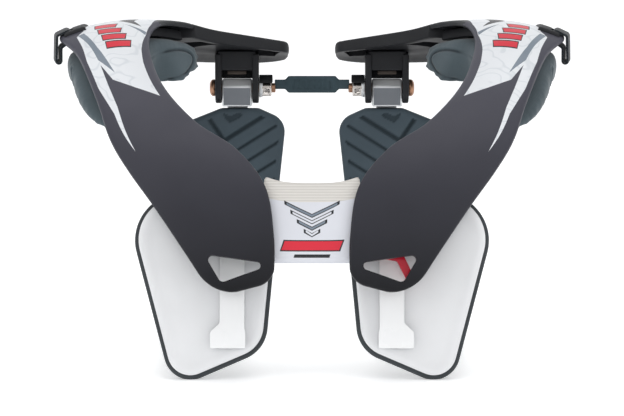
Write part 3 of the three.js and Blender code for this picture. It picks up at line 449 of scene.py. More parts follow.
def paint_shapes(bm, shapes):
    """Cuts flat shapes into the top layer of a grid that isn't placed yet, and gives them a finish."""
    for index, corners in shapes:
        low = [min(c[k] for c in corners) for k in (0, 1)]
        high = [max(c[k] for c in corners) for k in (0, 1)]
        margin = [0.03 * (high[k] - low[k]) + 0.02 for k in (0, 1)]

        def near(face):
            if any(v.co.z < 0.5 for v in face.verts):
                return False
            xs = [v.co.x for v in face.verts]
            ys = [v.co.y for v in face.verts]
            over_x = max(xs) >= low[0] - margin[0] and min(xs) <= high[0] + margin[0]
            return over_x and max(ys) >= low[1] - margin[1] and min(ys) <= high[1] + margin[1]

        for (x1, y1), (x2, y2) in zip(corners, corners[1:] + corners[:1]):
            faces = [f for f in bm.faces if near(f)]
            edges = {e for f in faces for e in f.edges}
            verts = {v for f in faces for v in f.verts}
            geom = [*verts, *edges, *faces]
            normal = (y2 - y1, x1 - x2, 0)
            bmesh.ops.bisect_plane(bm, geom=geom, dist=1e-6, plane_co=(x1, y1, 0), plane_no=normal)
        for f in bm.faces:
            if near(f):
                c = f.calc_center_median()
                if inside((c.x, c.y), corners):
                    f.material_index = index


def placed(bm, place, shapes=()):
    """The plate with its shapes cut in, and its points where place(u, v, layer) puts them."""
    paint_shapes(bm, shapes)
    for v in bm.verts:
        v.co = Vector(place(v.co.x, v.co.y, v.co.z))
    return bm


def apply_modifiers(target):
    """Makes the result of an object's modifiers its own mesh."""
    bpy.context.view_layer.update()
    graph = bpy.context.evaluated_depsgraph_get()
    data = bpy.data.meshes.new_from_object(target.evaluated_get(graph))
    old = target.data
    data.name = old.name
    target.modifiers.clear()
    target.data = data
    bpy.data.meshes.remove(old)


def changed(target, kind, **settings):
    """Gives an object one modifier with its settings, and applies it."""
    change = target.modifiers.new(kind.lower(), kind)
    for key, value in settings.items():
        setattr(change, key, value)
    apply_modifiers(target)


def discard(obj):
    data = obj.data
    bpy.data.objects.remove(obj)
    bpy.data.meshes.remove(data)


def cut(target, bm, side=1):
    """Takes a form in millimetres away from an object."""
    cutter = to_object("cutter", bm, ["black"], side)
    changed(target, "BOOLEAN", operation="DIFFERENCE", solver="EXACT", object=cutter)
    discard(cutter)


def join_into(target, *others):
    """Puts other objects' meshes into one, beside its own."""
    bm = bmesh.new()
    bm.from_mesh(target.data)
    for other in others:
        bm.from_mesh(other.data)
        discard(other)
    bm.to_mesh(target.data)
    bm.free()


def bevel(target, width, segments, angle, sharp=None, material=-1):
    """Rounds the edges over an angle; what still turns by more than the sharp angle stays sharp."""
    limit = {"limit_method": "ANGLE", "angle_limit": math.radians(angle)}
    changed(target, "BEVEL", width=width * 0.001, segments=segments, material=material, **limit)
    if sharp:
        for f in target.data.polygons:
            f.use_smooth = True
        target.data.set_sharp_from_angle(angle=math.radians(sharp))


def keep(obj, body, slot, *nodes):
    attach(obj, body)
    if nodes:
        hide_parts(*nodes)


def box_form(low, high):
    bm = bmesh.new()
    bmesh.ops.create_cube(bm, size=1)
    for v in bm.verts:
        v.co = Vector([mix(low[k], high[k], v.co[k] + 0.5) for k in range(3)])
    return bm


def extruded(outline, axes, origin, depth):
    """A prism over a flat outline; axes are its x, y and depth directions, centred on depth."""
    x, y, z = (np.array(a, float) for a in axes)
    ends = [np.array(origin) + z * depth * share for share in (-0.5, 0.5)]
    return loft([[end + x * p[0] + y * p[1] for p in outline] for end in ends])


def rounded_outline(corners, steps):
    """An outline with rounded corners, from (x, y, radius) given in order."""
    made = []
    for i, (x, y, radius) in enumerate(corners):
        at = np.array((x, y))
        back = np.array(corners[i - 1][:2]) - at
        ahead_of = np.array(corners[(i + 1) % len(corners)][:2]) - at
        back, ahead_of = back / np.linalg.norm(back), ahead_of / np.linalg.norm(ahead_of)
        half = math.acos(np.clip(back @ ahead_of, -1, 1)) / 2
        reach = radius / math.tan(half)
        bisector = (back + ahead_of) / np.linalg.norm(back + ahead_of)
        centre = at + bisector * radius / math.sin(half)
        start, end = at + back * reach - centre, at + ahead_of * reach - centre
        turn = math.atan2(start[0] * end[1] - start[1] * end[0], start @ end)
        for k in range(steps + 1):
            a = turn * k / steps
            spun = (
                start[0] * math.cos(a) - start[1] * math.sin(a),
                start[0] * math.sin(a) + start[1] * math.cos(a),
            )
            made.append(centre + np.array(spun))
    return made


def rectangle(half_width, half_height, radius, steps):
    signs = ((1, 1), (-1, 1), (-1, -1), (1, -1))
    return rounded_outline([(half_width * x, half_height * y, radius) for x, y in signs], steps)


def resampled(outline, spacing):
    """The same closed outline with points at an even spacing."""
    points = np.array(outline + outline[:1])
    lengths = np.linalg.norm(np.diff(points, axis=0), axis=1)
    total = np.concatenate([[0], np.cumsum(lengths)])
    count = max(int(total[-1] / spacing), 8)
    at = np.linspace(0, total[-1], count, endpoint=False)
    return list(np.stack([np.interp(at, total, points[:, k]) for k in (0, 1)], axis=1))


def inset_outline(outline, inset):
    pts = np.array(outline)
    ahead_of, back = np.roll(pts, -1, axis=0), np.roll(pts, 1, axis=0)
    area = np.sum(pts[:, 0] * ahead_of[:, 1] - pts[:, 1] * ahead_of[:, 0])
    along = ahead_of - back
    along /= np.linalg.norm(along, axis=1)[:, None]
    inward = np.stack([-along[:, 1], along[:, 0]], axis=1) * np.sign(area)
    return list(pts + inward * inset)


def slab(outline, profile, place):
    """A slab with an outline and a profile of (inset, height, share drawn in to the middle)."""
    middle = np.mean(outline, axis=0)
    rings = []
    for inset, height, drawn in profile:
        drawn_in = [mix(p, middle, drawn) for p in inset_outline(outline, inset)]
        rings.append([place(p[0], p[1], height) for p in drawn_in])
    return loft(rings)


def turned(profile, axis, centre, sides=48):
    """A form turned round an axis; profile is (radius, distance along the axis)."""
    axis = np.array(axis, float)
    axis /= np.linalg.norm(axis)
    other = np.cross(axis, (0, 0, 1)) if abs(axis[2]) < 0.9 else np.cross(axis, (1, 0, 0))
    other /= np.linalg.norm(other)
    third = np.cross(axis, other)
    rings = []
    for radius, along in profile:
        ring = []
        for k in range(sides):
            a = 2 * math.pi * k / sides
            out = other * math.cos(a) + third * math.sin(a)
            ring.append(np.array(centre) + axis * along + out * radius)
        rings.append(ring)
    return loft(rings)


# Painted shell
PAINT, WHITE, GREY, RED, BLACK = range(5)
SHELL_FINISHES = ["paint", "print_white", "print_grey", "print_red", "print_black"]
EDGE_ROUND, TIP_ROUND_INNER, TIP_ROUND_OUTER = 1.3, 9, 15
SLOT_CORNERS = ((0.24, 0.785, 3.2), (0.85, 0.81, 2.24), (0.38, 0.0, 2.4))
SLOT_T, SLOT_S = 0.55, 0.56
LOOP_T, LOOP_WIDTH, LOOP_THICKNESS = 7.05, 15.0, 1.8
LOOP_SLOT_IN, LOOP_SLOT_OPENING, LOOP_SLOT_SIDE = 8.8, 4.2, 0.8

# Print on the shell, in sections along it and shares across it
WHITE_FIELD = [
    (7.95, 0.60), (7.95, 0.10), (6.83, 0.036), (6.28, 0.046), (5.78, 0.13), (5.47, 0.158),
    (5.14, 0.16), (4.66, 0.16), (4.91, 0.421), (5.21, 0.69), (5.57, 0.787), (4.61, 0.773),
    (3.36, 0.838), (4.50, 0.844), (5.17, 0.926), (5.74, 0.942), (6.51, 0.874), (6.67, 0.768),
    (7.08, 0.69),
]
GREY_BLADE = [(6.55, 0.851), (6.57, 0.778), (5.98, 0.739), (5.33, 0.627), (5.68, 0.794)]
DARK_SHARD = [(7.6, 0.30), (6.97, 0.382), (6.63, 0.12), (6.94, 0.227), (7.6, 0.20)]
GREY_WEDGE = [(6.73, 0.317), (6.41, 0.048), (6.28, 0.052)]


REAR_BLACK = [(7.1, -0.01), (8.4, -0.01), (8.4, 1.01), (7.9, 1.01), (7.62, 0.09), (7.1, 0.045)]
SHELL_PRINT = [
    (WHITE, WHITE_FIELD), (BLACK, REAR_BLACK), (GREY, GREY_BLADE), (BLACK, DARK_SHARD), (GREY, GREY_WEDGE),
]
BAR_COUNT, BAR_TOP, BAR_STEP, BAR_SLANT = 4, 6.78, 0.245, 0.03


def slanted_bar(t, s_from, s_to, height):
    low = t - BAR_SLANT
    return [(t, s_from), (low, s_to), (low - height, s_to + 0.03), (t - height, s_from + 0.015)]


for n in range(BAR_COUNT):
    bar_top = BAR_TOP - BAR_STEP * n
    border = slanted_bar(bar_top + 0.03, 0.635 - 0.008 * n, 0.38 - 0.045 * n, 0.215)
    SHELL_PRINT.append((BLACK, border))
    SHELL_PRINT.append((RED, slanted_bar(bar_top, 0.622 - 0.008 * n, 0.393 - 0.045 * n, 0.155)))


def tip_distance(t):
    (a1, b1), (a2, b2) = frame_edges(0), frame_edges(t)
    return (np.linalg.norm(a1 - a2) + np.linalg.norm(b1 - b2)) / 2


def edge_drop(distance, radius=EDGE_ROUND):
    if distance >= radius:
        return 0.0
    return radius - math.sqrt(max(radius**2 - (radius - distance) ** 2, 0))


def shell_place(t, u, layer):
    width = frame_axes(t)[2]
    s0 = round_in(tip_distance(t), TIP_ROUND_INNER) / width
    s1 = 1 - round_in(tip_distance(t), TIP_ROUND_OUTER) / width
    to_end = min(tip_distance(t), (SHELL_TO - t) * SECTION_LENGTH)
    drop = edge_drop(min(min(u, 1 - u) * width * (s1 - s0), to_end))
    depth = drop if layer > 0.5 else SHELL_THICKNESS - drop
    return frame_point(t, mix(s0, s1, u), depth)


def slot_cutter():
    centre = frame_point(SLOT_T, SLOT_S, 0)
    _, _, _, across, along, normal = frame_axes(SLOT_T)
    corners = []
    for t, s, radius in SLOT_CORNERS:
        p = frame_point(t, s, 0) - centre
        corners.append((p @ across, p @ along, radius))
    return extruded(rounded_outline(corners, 10), (across, along, normal), centre, 30)


def loop_frame():
    _, _, _, across, along, normal = frame_axes(LOOP_T)
    return frame_point(LOOP_T, 1, 0), across, along, normal


def loop_slot(extra):
    origin, across, along, normal = loop_frame()
    centre = origin + across * (LOOP_SLOT_OPENING / 2 - LOOP_SLOT_IN)
    half_height = LOOP_WIDTH / 2 + LOOP_SLOT_SIDE + extra
    outline = rectangle(LOOP_SLOT_OPENING / 2 + extra, half_height, 1.2, 5)
    return extruded(outline, (across, along, normal), centre, 36)


def build_shell(side_name, side):
    near_edge = [0, 0.003, 0.008, 0.016, 0.03]
    us = near_edge + spread(0.06, 0.94, 24) + [1 - u for u in reversed(near_edge)]
    tip = [0, 0.004, 0.012, 0.026, 0.045]
    end = [SHELL_TO - d for d in (0.05, 0.03, 0.015, 0.006, 0)]
    ts = tip + spread(0.07, 0.5, 10) + spread(0.55, SHELL_TO - 0.09, 120) + end
    grid = layered(ts, us)
    for f in grid.faces:
        top_share = sum(v.co.z for v in f.verts) / len(f.verts)
        dark_side = top_share < 0.8 and f.calc_center_median().x > 7.15
        f.material_index = BLACK if top_share < 0.2 or dark_side else PAINT
    bm = placed(grid, shell_place, SHELL_PRINT)
    made = to_object(f"painted_shell_{side_name}", bm, SHELL_FINISHES, side)
    for cutter in (slot_cutter(), loop_slot(0)):
        cut(made, cutter, side)
    bevel(made, 0.5, 2, 50, 58)
    keep(made, ROOT, "paint", f"shell_{side_name}")


# Raised black insert round the webbing loop's slot: from and to along t, and across s
INSERT_T, INSERT_S = (6.72, 7.4), (0.73, 0.965)
INSERT_HEIGHT, INSERT_ROUND, INSERT_ACROSS = 1.9, 1.5, 48


def insert_place(t, s, layer):
    along = min(t - INSERT_T[0], INSERT_T[1] - t) * SECTION_LENGTH
    across = min(s - INSERT_S[0], INSERT_S[1] - s) * INSERT_ACROSS
    drop = edge_drop(min(along, across), INSERT_ROUND)
    return frame_point(t, s, (drop - INSERT_HEIGHT) if layer > 0.5 else 0.4)


def build_insert(side_name, side):
    ts = [6.72, 6.735, 6.76] + spread(6.79, 7.33, 14) + [7.36, 7.385, 7.4]
    ss = [0.73, 0.738, 0.75] + spread(0.77, 0.925, 8) + [0.945, 0.957, 0.965]
    made = to_object(f"loop_insert_{side_name}", placed(layered(ts, ss), insert_place), ["black"], side)
    cut(made, loop_slot(0.1), side)
    keep(made, ROOT, "black_plastic")


def ribbon(ts, shares, top, bottom, rounding=1.2):
    """A length of the frame between two depths, with rounded long edges."""
    rings = []
    for t in ts:
        s0, s1 = shares(t)
        width = frame_axes(t)[2] * (s1 - s0)
        rim = [0, 0.25 * rounding, rounding]
        us = [d / width for d in rim] + spread(0.1, 0.9, 10) + [1 - d / width for d in reversed(rim)]
        upper, lower = [], []
        for u in us:
            drop = edge_drop(min(u, 1 - u) * width, rounding)
            s = mix(s0, s1, u)
            upper.append(frame_point(t, s, top(t) + drop))
            lower.append(frame_point(t, s, bottom(t, s) - drop))
        rings.append(upper + lower[::-1])
    return loft(rings)


def rail_keepout():
    def shares(t):
        margin = GAP / frame_axes(t)[2]
        return RAIL_INSET - margin, 1 - RAIL_INSET + margin

    ts = spread(RAIL_FROM - 0.05, RAIL_FROM + 3, 10)
    return ribbon(ts, shares, lambda t: 0, lambda t, s: RAIL_DEPTH + GAP, 0.5)


def arm_end_distance(t):
    return np.linalg.norm(frame_edges(t)[0] - frame_edges(LAST)[0])


def arm_depth(t):
    return mix(ARM_DEPTH, ARM_END_DEPTH, (t - SHELL_TO) / (LAST - SHELL_TO))


def ear_profile(rise):
    round_end = [(EAR_RADIUS * math.cos(a), EAR_RADIUS * math.sin(a)) for a in spread(0, -math.pi, 40)]
    return [(EAR_RADIUS, rise), *round_end, (-EAR_RADIUS, 0.9 * rise)]


ALONG_X = (1, 0, 0)
BOLT_AXES = ((0, 1, 0), (0, 0, 1), ALONG_X)
RIB_S, RIB_WIDTH, RIB_HEIGHT = 0.56, 0.05, 1.1


def arm_rib(t, s):
    """The depth of the arm's underside, with a low rib along its middle."""
    rib = math.exp(-(((s - RIB_S) / RIB_WIDTH) ** 2)) * RIB_HEIGHT
    tail = rib * smooth((LAST - 0.4 - t) / 0.5) * smooth((t - SHELL_TO) / 0.4)
    return arm_depth(t) + tail - edge_drop(arm_end_distance(t), 0.8)


def build_chassis(side_name, side):
    def part(bm):
        return to_object("part", bm, ["black"], side)

    def arm_shares(t):
        k = round_in(arm_end_distance(t), ARM_END_ROUND) / frame_axes(t)[2]
        return k, 1 - k

    rail = part(ribbon(
        spread(RAIL_FROM, SHELL_TO + 0.05, 70),
        lambda t: (RAIL_INSET, 1 - RAIL_INSET),
        lambda t: SHELL_THICKNESS + 2 * GAP,
        lambda t, s: RAIL_DEPTH,
    ))
    arm = part(ribbon(
        spread(SHELL_TO + 0.03, LAST - 0.6, 36) + spread(LAST - 0.56, LAST, 20),
        arm_shares,
        lambda t: edge_drop(arm_end_distance(t), ARM_TOP_ROUND),
        arm_rib,
    ))
    for low, high, inner, outer in ARM_POCKETS:
        pocket = ribbon(spread(low, high, 8), lambda t: (inner, outer), lambda t: 3, lambda t, s: 13, 0.8)
        cut(arm, pocket, side)
    above = ribbon(
        spread(SHELL_TO, LAST + 0.2, 14), lambda t: (-0.6, 1.6), lambda t: -36, lambda t, s: 1.5, 0.5
    )
    half = BLOCK_WIDTH / 2 + EAR_SIDE
    rise = 0.9 * CREST_HEIGHT - PIVOT[2]
    forms = []
    for way in (-1, 1):
        centre = PIVOT + (way * (half + EAR_THICKNESS / 2), 0, 0)
        forms.append(extruded(ear_profile(rise), BOLT_AXES, centre, EAR_THICKNESS))
    web_low, web_high = (-half - 2, 1 - EAR_RADIUS, WEB_BELOW), (half + 2, EAR_RADIUS - 1, rise - 0.5)
    lip_low, lip_high = (-half - 2, 7.6, 5.6), (half + 2, 9.6, WEB_BELOW + 1)
    for low, high in ((web_low, web_high), (lip_low, lip_high)):
        forms.append(box_form(PIVOT + low, PIVOT + high))
    hung = [part(form) for form in forms]
    for piece in hung:
        bevel(piece, 0.9, 3, 50, 58)
        cut(piece, above.copy(), side)
    above.free()
    cut(rail, loop_slot(1.2), side)
    join_into(rail, arm, *hung)
    rail.name = f"chassis_frame_{side_name}"
    rail.data.set_sharp_from_angle(angle=math.radians(38))
    keep(rail, ROOT, "black_plastic", f"chassis_{side_name}")


# Soft shoulder pad: filled with air by a cloth simulation, then smoothed and seamed
PAD_FROM, PAD_TO, PAD_OVERHANG, PAD_DEPTH = 4.45, 8.6, 6.0, 41.0
# From front to rear: overhang at the neck and at the arm, then depth at the neck, middle and arm
PAD_ROWS = np.array([
    (-1.00, -0.33, 0.366, 0.366, 0.341),
    (-0.50, 1.00, 0.585, 0.488, 0.537),
    (-0.17, 0.50, 0.829, 0.537, 0.659),
    (-0.17, -0.50, 1.000, 0.537, 0.683),
    (-0.17, -1.00, 0.976, 0.512, 0.634),
    (-0.83, -1.33, 0.756, 0.463, 0.488),
])
PAD_TOP = RAIL_DEPTH + 3 * GAP
FLANGE_FLAT, FLANGE_FALL, FLANGE_POWER, INNER_DEEPER = 0.1, 2.5, 2.4, 1.05
RIM_PER_WIDTH, RIM_TOP, RIM_BELOW = 8, 2, 2.8
PAD_REMESH, PAD_HELD_WITHIN, PAD_PRESSURE, PAD_SWELL = 2.8, 3.5, 4.0, 2.4
PANEL_T, PANEL_V, PANEL_HALF_T, PANEL_HALF_V = 7.0, 0.53, 1.42, 0.34
CROSS_SEAMS, CROSS_SLANT = (5.8, 6.5, 7.3), 0.5


def pad_row(t):
    return rows_at(PAD_ROWS, (len(PAD_ROWS) - 1) * (t - PAD_FROM) / (PAD_TO - PAD_FROM))


def flange_share(u):
    """How much of a flange's extra depth is left at a share from the pad's edge."""
    return max(1 - FLANGE_FALL * max(u - FLANGE_FLAT, 0), 0) ** FLANGE_POWER


def pad_point(t, u, under):
    """A point of the shoulder pad: u across from the neck side, on its top or its underside."""
    row = pad_row(t)
    width = frame_axes(t)[2]
    s0 = -row[0] * PAD_OVERHANG / width
    s1 = 1 + row[1] * PAD_OVERHANG / width
    s = mix(s0, s1, u)
    beyond = max(-s, s - 1, 0)
    crown = CROWN * rows_at(SECTIONS, t)[6] * 4 * beyond * (1 + beyond)
    rim = max(1 - min(u, 1 - u) * RIM_PER_WIDTH, 0) ** 2
    if not under:
        return frame_point(t, s, PAD_TOP + RIM_TOP * rim - crown)
    to_inner = flange_share(u) * (row[2] - row[3])
    to_outer = flange_share(1 - u) * (row[4] - row[3])
    depth = PAD_DEPTH * (row[3] + INNER_DEEPER * to_inner + to_outer)
    return frame_point(t, s, depth - RIM_BELOW * rim - crown)


def pad_side(t, u, v):
    """A place on the pad's neck side (u 0) or arm side (u 1), v from its top to its lower edge."""
    return mix(pad_point(t, u, False), pad_point(t, u, True), v)


def remesh(target, size):
    changed(target, "REMESH", mode="VOXEL", voxel_size=size * 0.001, use_smooth_shade=True)


def coordinates(data):
    found = np.empty(len(data.vertices) * 3)
    data.vertices.foreach_get("co", found)
    return found.reshape(-1, 3)


def place_all(data, points):
    data.vertices.foreach_set("co", np.ascontiguousarray(points).ravel())
    data.update()


CLOTH_FRAMES = 20


def inflate(target, pinned):
    """Fills the pad with air for a moment; no point moves further than PAD_SWELL."""
    start = coordinates(target.data)
    group = target.vertex_groups.new(name="held")
    group.add([int(i) for i in np.nonzero(pinned)[0]], 1.0, "REPLACE")
    cloth = target.modifiers.new("cloth", "CLOTH")
    settings = cloth.settings
    settings.quality = 6
    settings.mass = 0.3
    settings.use_pressure = True
    settings.uniform_pressure_force = PAD_PRESSURE
    settings.vertex_group_mass = "held"
    settings.effector_weights.gravity = 0
    cloth.point_cache.frame_start = 1
    cloth.point_cache.frame_end = CLOTH_FRAMES
    scene = bpy.context.scene
    for number in range(1, CLOTH_FRAMES + 1):
        scene.frame_set(number)
    graph = bpy.context.evaluated_depsgraph_get()
    filled = coordinates(target.evaluated_get(graph).data)
    target.modifiers.clear()
    scene.frame_set(1)
    moved = filled - start
    length = np.linalg.norm(moved, axis=1)[:, None]
    shorter = np.minimum(1, PAD_SWELL * 0.001 / np.maximum(length, 1e-9))
    place_all(target.data, start + moved * shorter)


def seam(target, lines, depth, width, lift):
    """Presses seams into a mesh along lines of points in metres, and marks them with an attribute that
    paints shade into them.
    """
    data = target.data
    points = coordinates(data)
    nearest = np.full(len(points), 1.0)
    for line in lines:
        line = np.array([points[np.argmin(np.linalg.norm(points - p, axis=1))] for p in line])
        for _ in range(3):
            line[1:-1] = (line[:-2] + line[1:-1] * 2 + line[2:]) / 4
        for a, b in zip(line, line[1:]):
            way = b - a
            k = np.clip((points - a) @ way / (way @ way), 0, 1)
            nearest = np.minimum(nearest, np.linalg.norm(points - (a + k[:, None] * way), axis=1))
    share = np.exp(-((nearest * 1000 / width) ** 2))
    beside = np.exp(-(((nearest * 1000 - 2.2 * width) / width) ** 2))
    normals = np.array([v.normal for v in data.vertices])
    place_all(data, points + normals * (beside * lift - share * depth)[:, None] * 0.001)
    # The seam's share is kept to paint shade into the seams.
    attribute = data.attributes.get("groove_shade") or data.attributes.new("groove_shade", "FLOAT", "POINT")
    old = np.empty(len(points), np.float32)
    attribute.data.foreach_get("value", old)
    attribute.data.foreach_set("value", np.maximum(old, share).astype(np.float32))


def mirrored(source, name):
    """The same piece for the wearer's other side."""
    data = source.data.copy()
    points = coordinates(data)
    points[:, 0] *= -1
    place_all(data, points)
    data.flip_normals()
    return new_object(name, data)


def in_metres(points):
    return [(np.array(p) + (0, SHIFT_Y, 0)) * 0.001 for p in points]


def build_shoulder_pads():
    across = spread(0, 1, 16)
    rings = []
    for t in spread(PAD_FROM + 0.05, PAD_TO + 0.14, 44):
        upper = [pad_point(t, u, False) for u in across]
        rings.append(upper + [pad_point(t, u, True) for u in across[::-1]])
    made = to_object("shoulder_cushion_left", loft(rings), ["knit"])
    remesh(made, PAD_REMESH)
    changed(made, "SMOOTH", factor=0.5, iterations=2)
    tops = [pad_point(t, u, False) for t in spread(PAD_FROM, PAD_TO, 60) for u in across]
    tops = np.array(in_metres(tops))
    far = np.array([np.min(np.linalg.norm(tops - p, axis=1)) for p in coordinates(made.data)])
    inflate(made, far < PAD_HELD_WITHIN * 0.001)
    changed(made, "SMOOTH", factor=0.5, iterations=5)
    for _ in range(2):
        changed(made, "SUBSURF", levels=1, render_levels=1)
    panel = []
    for a in spread(0, 2 * math.pi, 48):
        c, s = math.cos(a), math.sin(a)
        t = PANEL_T + PANEL_HALF_T * math.copysign(abs(c) ** 0.6, c)
        panel.append(pad_side(t, 0, PANEL_V + PANEL_HALF_V * math.copysign(abs(s) ** 0.7, s)))
    crossing = []
    for t in CROSS_SEAMS:
        crossing.append([pad_side(t + CROSS_SLANT * (1 - v), 1, v) for v in spread(0.02, 1, 12)])
    for t in CROSS_SEAMS:
        crossing.append([pad_point(t, u, True) for u in spread(0.3, 1, 16)])
    seam(made, [in_metres(panel)], 0.9, 0.8, 0.25)
    seam(made, [in_metres(line) for line in crossing], 1.1, 0.9, 0.3)
    other = mirrored(made, "shoulder_cushion_right")
    for piece, node in ((made, "shoulder_pad_left"), (other, "shoulder_pad_right")):
        keep(piece, ROOT, "foam_rubber", node)


# Webbing loop
def build_loop(side_name, side):
    start = LOOP_SLOT_OPENING / 2 - LOOP_SLOT_IN
    line = rounded_outline([
        (start, 3.7, 1.8), (start, -2.6, 1.6), (0.3, -6.6, 2.2), (1.5, -15.6, 1.4), (4.4, -15.6, 1.4),
        (1.8, 1, 1.8),
    ], 8)
    origin, across, along, normal = loop_frame()
    rings = []
    half = LOOP_THICKNESS / 2
    widths = spread(-LOOP_WIDTH / 2, LOOP_WIDTH / 2, 10)
    section = [(w, -half) for w in widths] + [(w, half) for w in widths[::-1]]
    outer, inner = inset_outline(line, -half), inset_outline(line, half)
    for p_out, p_in in zip(outer, inner):
        ring = []
        for w, h in section:
            edge = 0.75 if abs(w) > LOOP_WIDTH / 2 - 0.1 else 1
            k = 0.5 + edge * h / LOOP_THICKNESS
            p = np.array(p_in) * (1 - k) + np.array(p_out) * k
            ring.append(origin + across * p[0] + normal * p[1] + along * w)
        rings.append(ring)
    made = to_object(f"webbing_loop_{side_name}", loft(rings, True), ["webbing"], side, 50)
    keep(made, ROOT, "webbing", f"strap_loop_{side_name}")


# Chest supports
CHEST_RISE = 0.52 * CREST_HEIGHT
CHEST_FOOT_Y, CHEST_HEAD_Y = -0.921 * HALF_DEPTH, -0.727 * HALF_DEPTH
CHEST_TILT = math.atan2(CHEST_HEAD_Y - CHEST_FOOT_Y, CHEST_RISE)
CHEST_LENGTH = CHEST_RISE / math.cos(CHEST_TILT)
CHEST_UP = (0, math.sin(CHEST_TILT), math.cos(CHEST_TILT))
CHEST_AHEAD = (0, -math.cos(CHEST_TILT), math.sin(CHEST_TILT))
CHEST_PAD_THICKNESS, CHEST_RIM = 7.0, 3.2
CHEST_CORNERS = (
    (0.71, 0.992, 27), (0.512, -0.065, 15.12), (0.171, 0.145, 19.98), (0.117, 0.971, 18.9),
)


CHEST_BACK_INSET, CHEST_BACK_ROUND = 6, 3.5
# Rows of (inset from the outline, height, share drawn in to the middle)
CUSHION_FRONT = [
    (0, -1.4, 0), (0.18, -0.7, 0), (0.55, -0.2, 0), (1.1, 0, 0), (8, 0, 0), (8, 0, 0.4), (8, 0, 0.8),
]
PLATE_BACK = [(8, GAP, 0.8), (8, GAP, 0.4), (8, GAP, 0), (2.6, GAP, 0), (2.3, GAP + 0.3, 0)]
PLATE_FRONT = [
    (2.3, 2.2, 0), (2.55, 2.75, 0), (3.1, 3.1, 0), (3.8, 3.2, 0), (5.3, 3.15, 0), (6.5, 2.9, 0),
    (8.5, 2.35, 0), (11, 2.1, 0), (12, 1.98, 0.08), (12, 1.9, 0.3), (12, 1.82, 0.6), (12, 1.8, 0.85),
]


def chest_place(u, v, height):
    y = CHEST_FOOT_Y + v * math.sin(CHEST_TILT) - height * math.cos(CHEST_TILT)
    return np.array((u, y, v * math.cos(CHEST_TILT) + height * math.sin(CHEST_TILT)))


def chest_outline():
    lift = CHEST_PAD_THICKNESS * math.sin(CHEST_TILT)
    corners = [(x * HALF_WIDTH, v * CHEST_LENGTH + lift, r) for x, v, r in CHEST_CORNERS]
    return resampled(rounded_outline(corners, 24), 1.6)


def cut_below_floor(made):
    cut(made, box_form((-400, -400, -300), (400, 400, 0)))


def build_chest(side_name, side):
    outline = chest_outline()
    back, radius = -CHEST_PAD_THICKNESS, CHEST_BACK_ROUND
    rows = [(CHEST_BACK_INSET, back, drawn) for drawn in (0.8, 0.4, 0)]
    for a in spread(0.2, 1.5, 6):
        rows.append((radius * (1 - math.sin(a)), back + radius * (1 - math.cos(a)), 0))
    form = slab(outline, rows + CUSHION_FRONT, chest_place)
    cushion = to_object(f"chest_cushion_{side_name}", form, ["edge"], side)
    dish = slab(outline, PLATE_BACK + PLATE_FRONT, chest_place)
    plate = to_object(f"dished_plate_{side_name}", dish, ["white"], side, 55)
    for piece in (cushion, plate):
        cut(piece, rail_keepout(), side)
    cut_below_floor(cushion)
    keep(cushion, ROOT, "edge_rubber", f"chest_pad_{side_name}")
    keep(plate, ROOT, "white_plastic", f"chest_plate_{side_name}")


STRIP_X, STRIP_WIDTH, STRIP_THICKNESS, STRIP_FLARE = 0.293 * HALF_WIDTH, 13.8, 3.4, 5.0
STRIP_LOW, STRIP_HIGH = 0.163 * CHEST_LENGTH, 0.922 * CHEST_LENGTH
FOOT_WIDTH, FOOT_HEIGHT, FOOT_STEP = 19.8, 9, 0.6
BOSS_LOW, BOSS_HIGH, BOSS_DEPTH = 0.724 * CHEST_LENGTH, 0.884 * CHEST_LENGTH, HALF_DEPTH / 4


def build_chest_arm(side_name, side):
    low, high = STRIP_LOW, STRIP_HIGH
    inner, outer = STRIP_X - STRIP_WIDTH / 2, STRIP_X + STRIP_WIDTH / 2
    foot_inner, foot_top = inner - FOOT_STEP, low + FOOT_HEIGHT
    foot_outer = foot_inner + FOOT_WIDTH
    outline = rounded_outline([
        (inner, high, 1), (outer, high, 1), (outer, foot_top + STRIP_FLARE, 3), (foot_outer, foot_top, 1.6),
        (foot_outer, low, 0.8), (foot_inner, low, 0.8), (foot_inner, foot_top, 0.2),
        (inner, foot_top + 2, 0.2),
    ], 5)
    middle = CHEST_RIM + GAP + STRIP_THICKNESS / 2
    axes = (ALONG_X, CHEST_UP, CHEST_AHEAD)
    strip = extruded(outline, axes, chest_place(0, 0, middle), STRIP_THICKNESS)
    made = to_object(f"support_strip_{side_name}", strip, ["strip"], side)
    bevel(made, 0.6, 3, 40, 48)
    boss_outline = rectangle(STRIP_WIDTH / 2 - 0.5, (BOSS_HIGH - BOSS_LOW) / 2, 1, 4)
    boss_at = chest_place(STRIP_X, (BOSS_LOW + BOSS_HIGH) / 2, middle + BOSS_DEPTH / 2)
    boss = to_object("boss", extruded(boss_outline, axes, boss_at, BOSS_DEPTH), ["strip"], side)
    for piece in (made, boss):
        ts = spread(-0.4, 3, 24)
        above = ribbon(ts, lambda t: (-0.25, 1.25), lambda t: -38, lambda t, s: SHELL_THICKNESS + GAP, 0.5)
        cut(piece, above, side)
    join_into(made, boss)
    keep(made, ROOT, "white_plastic", f"chest_arm_{side_name}")


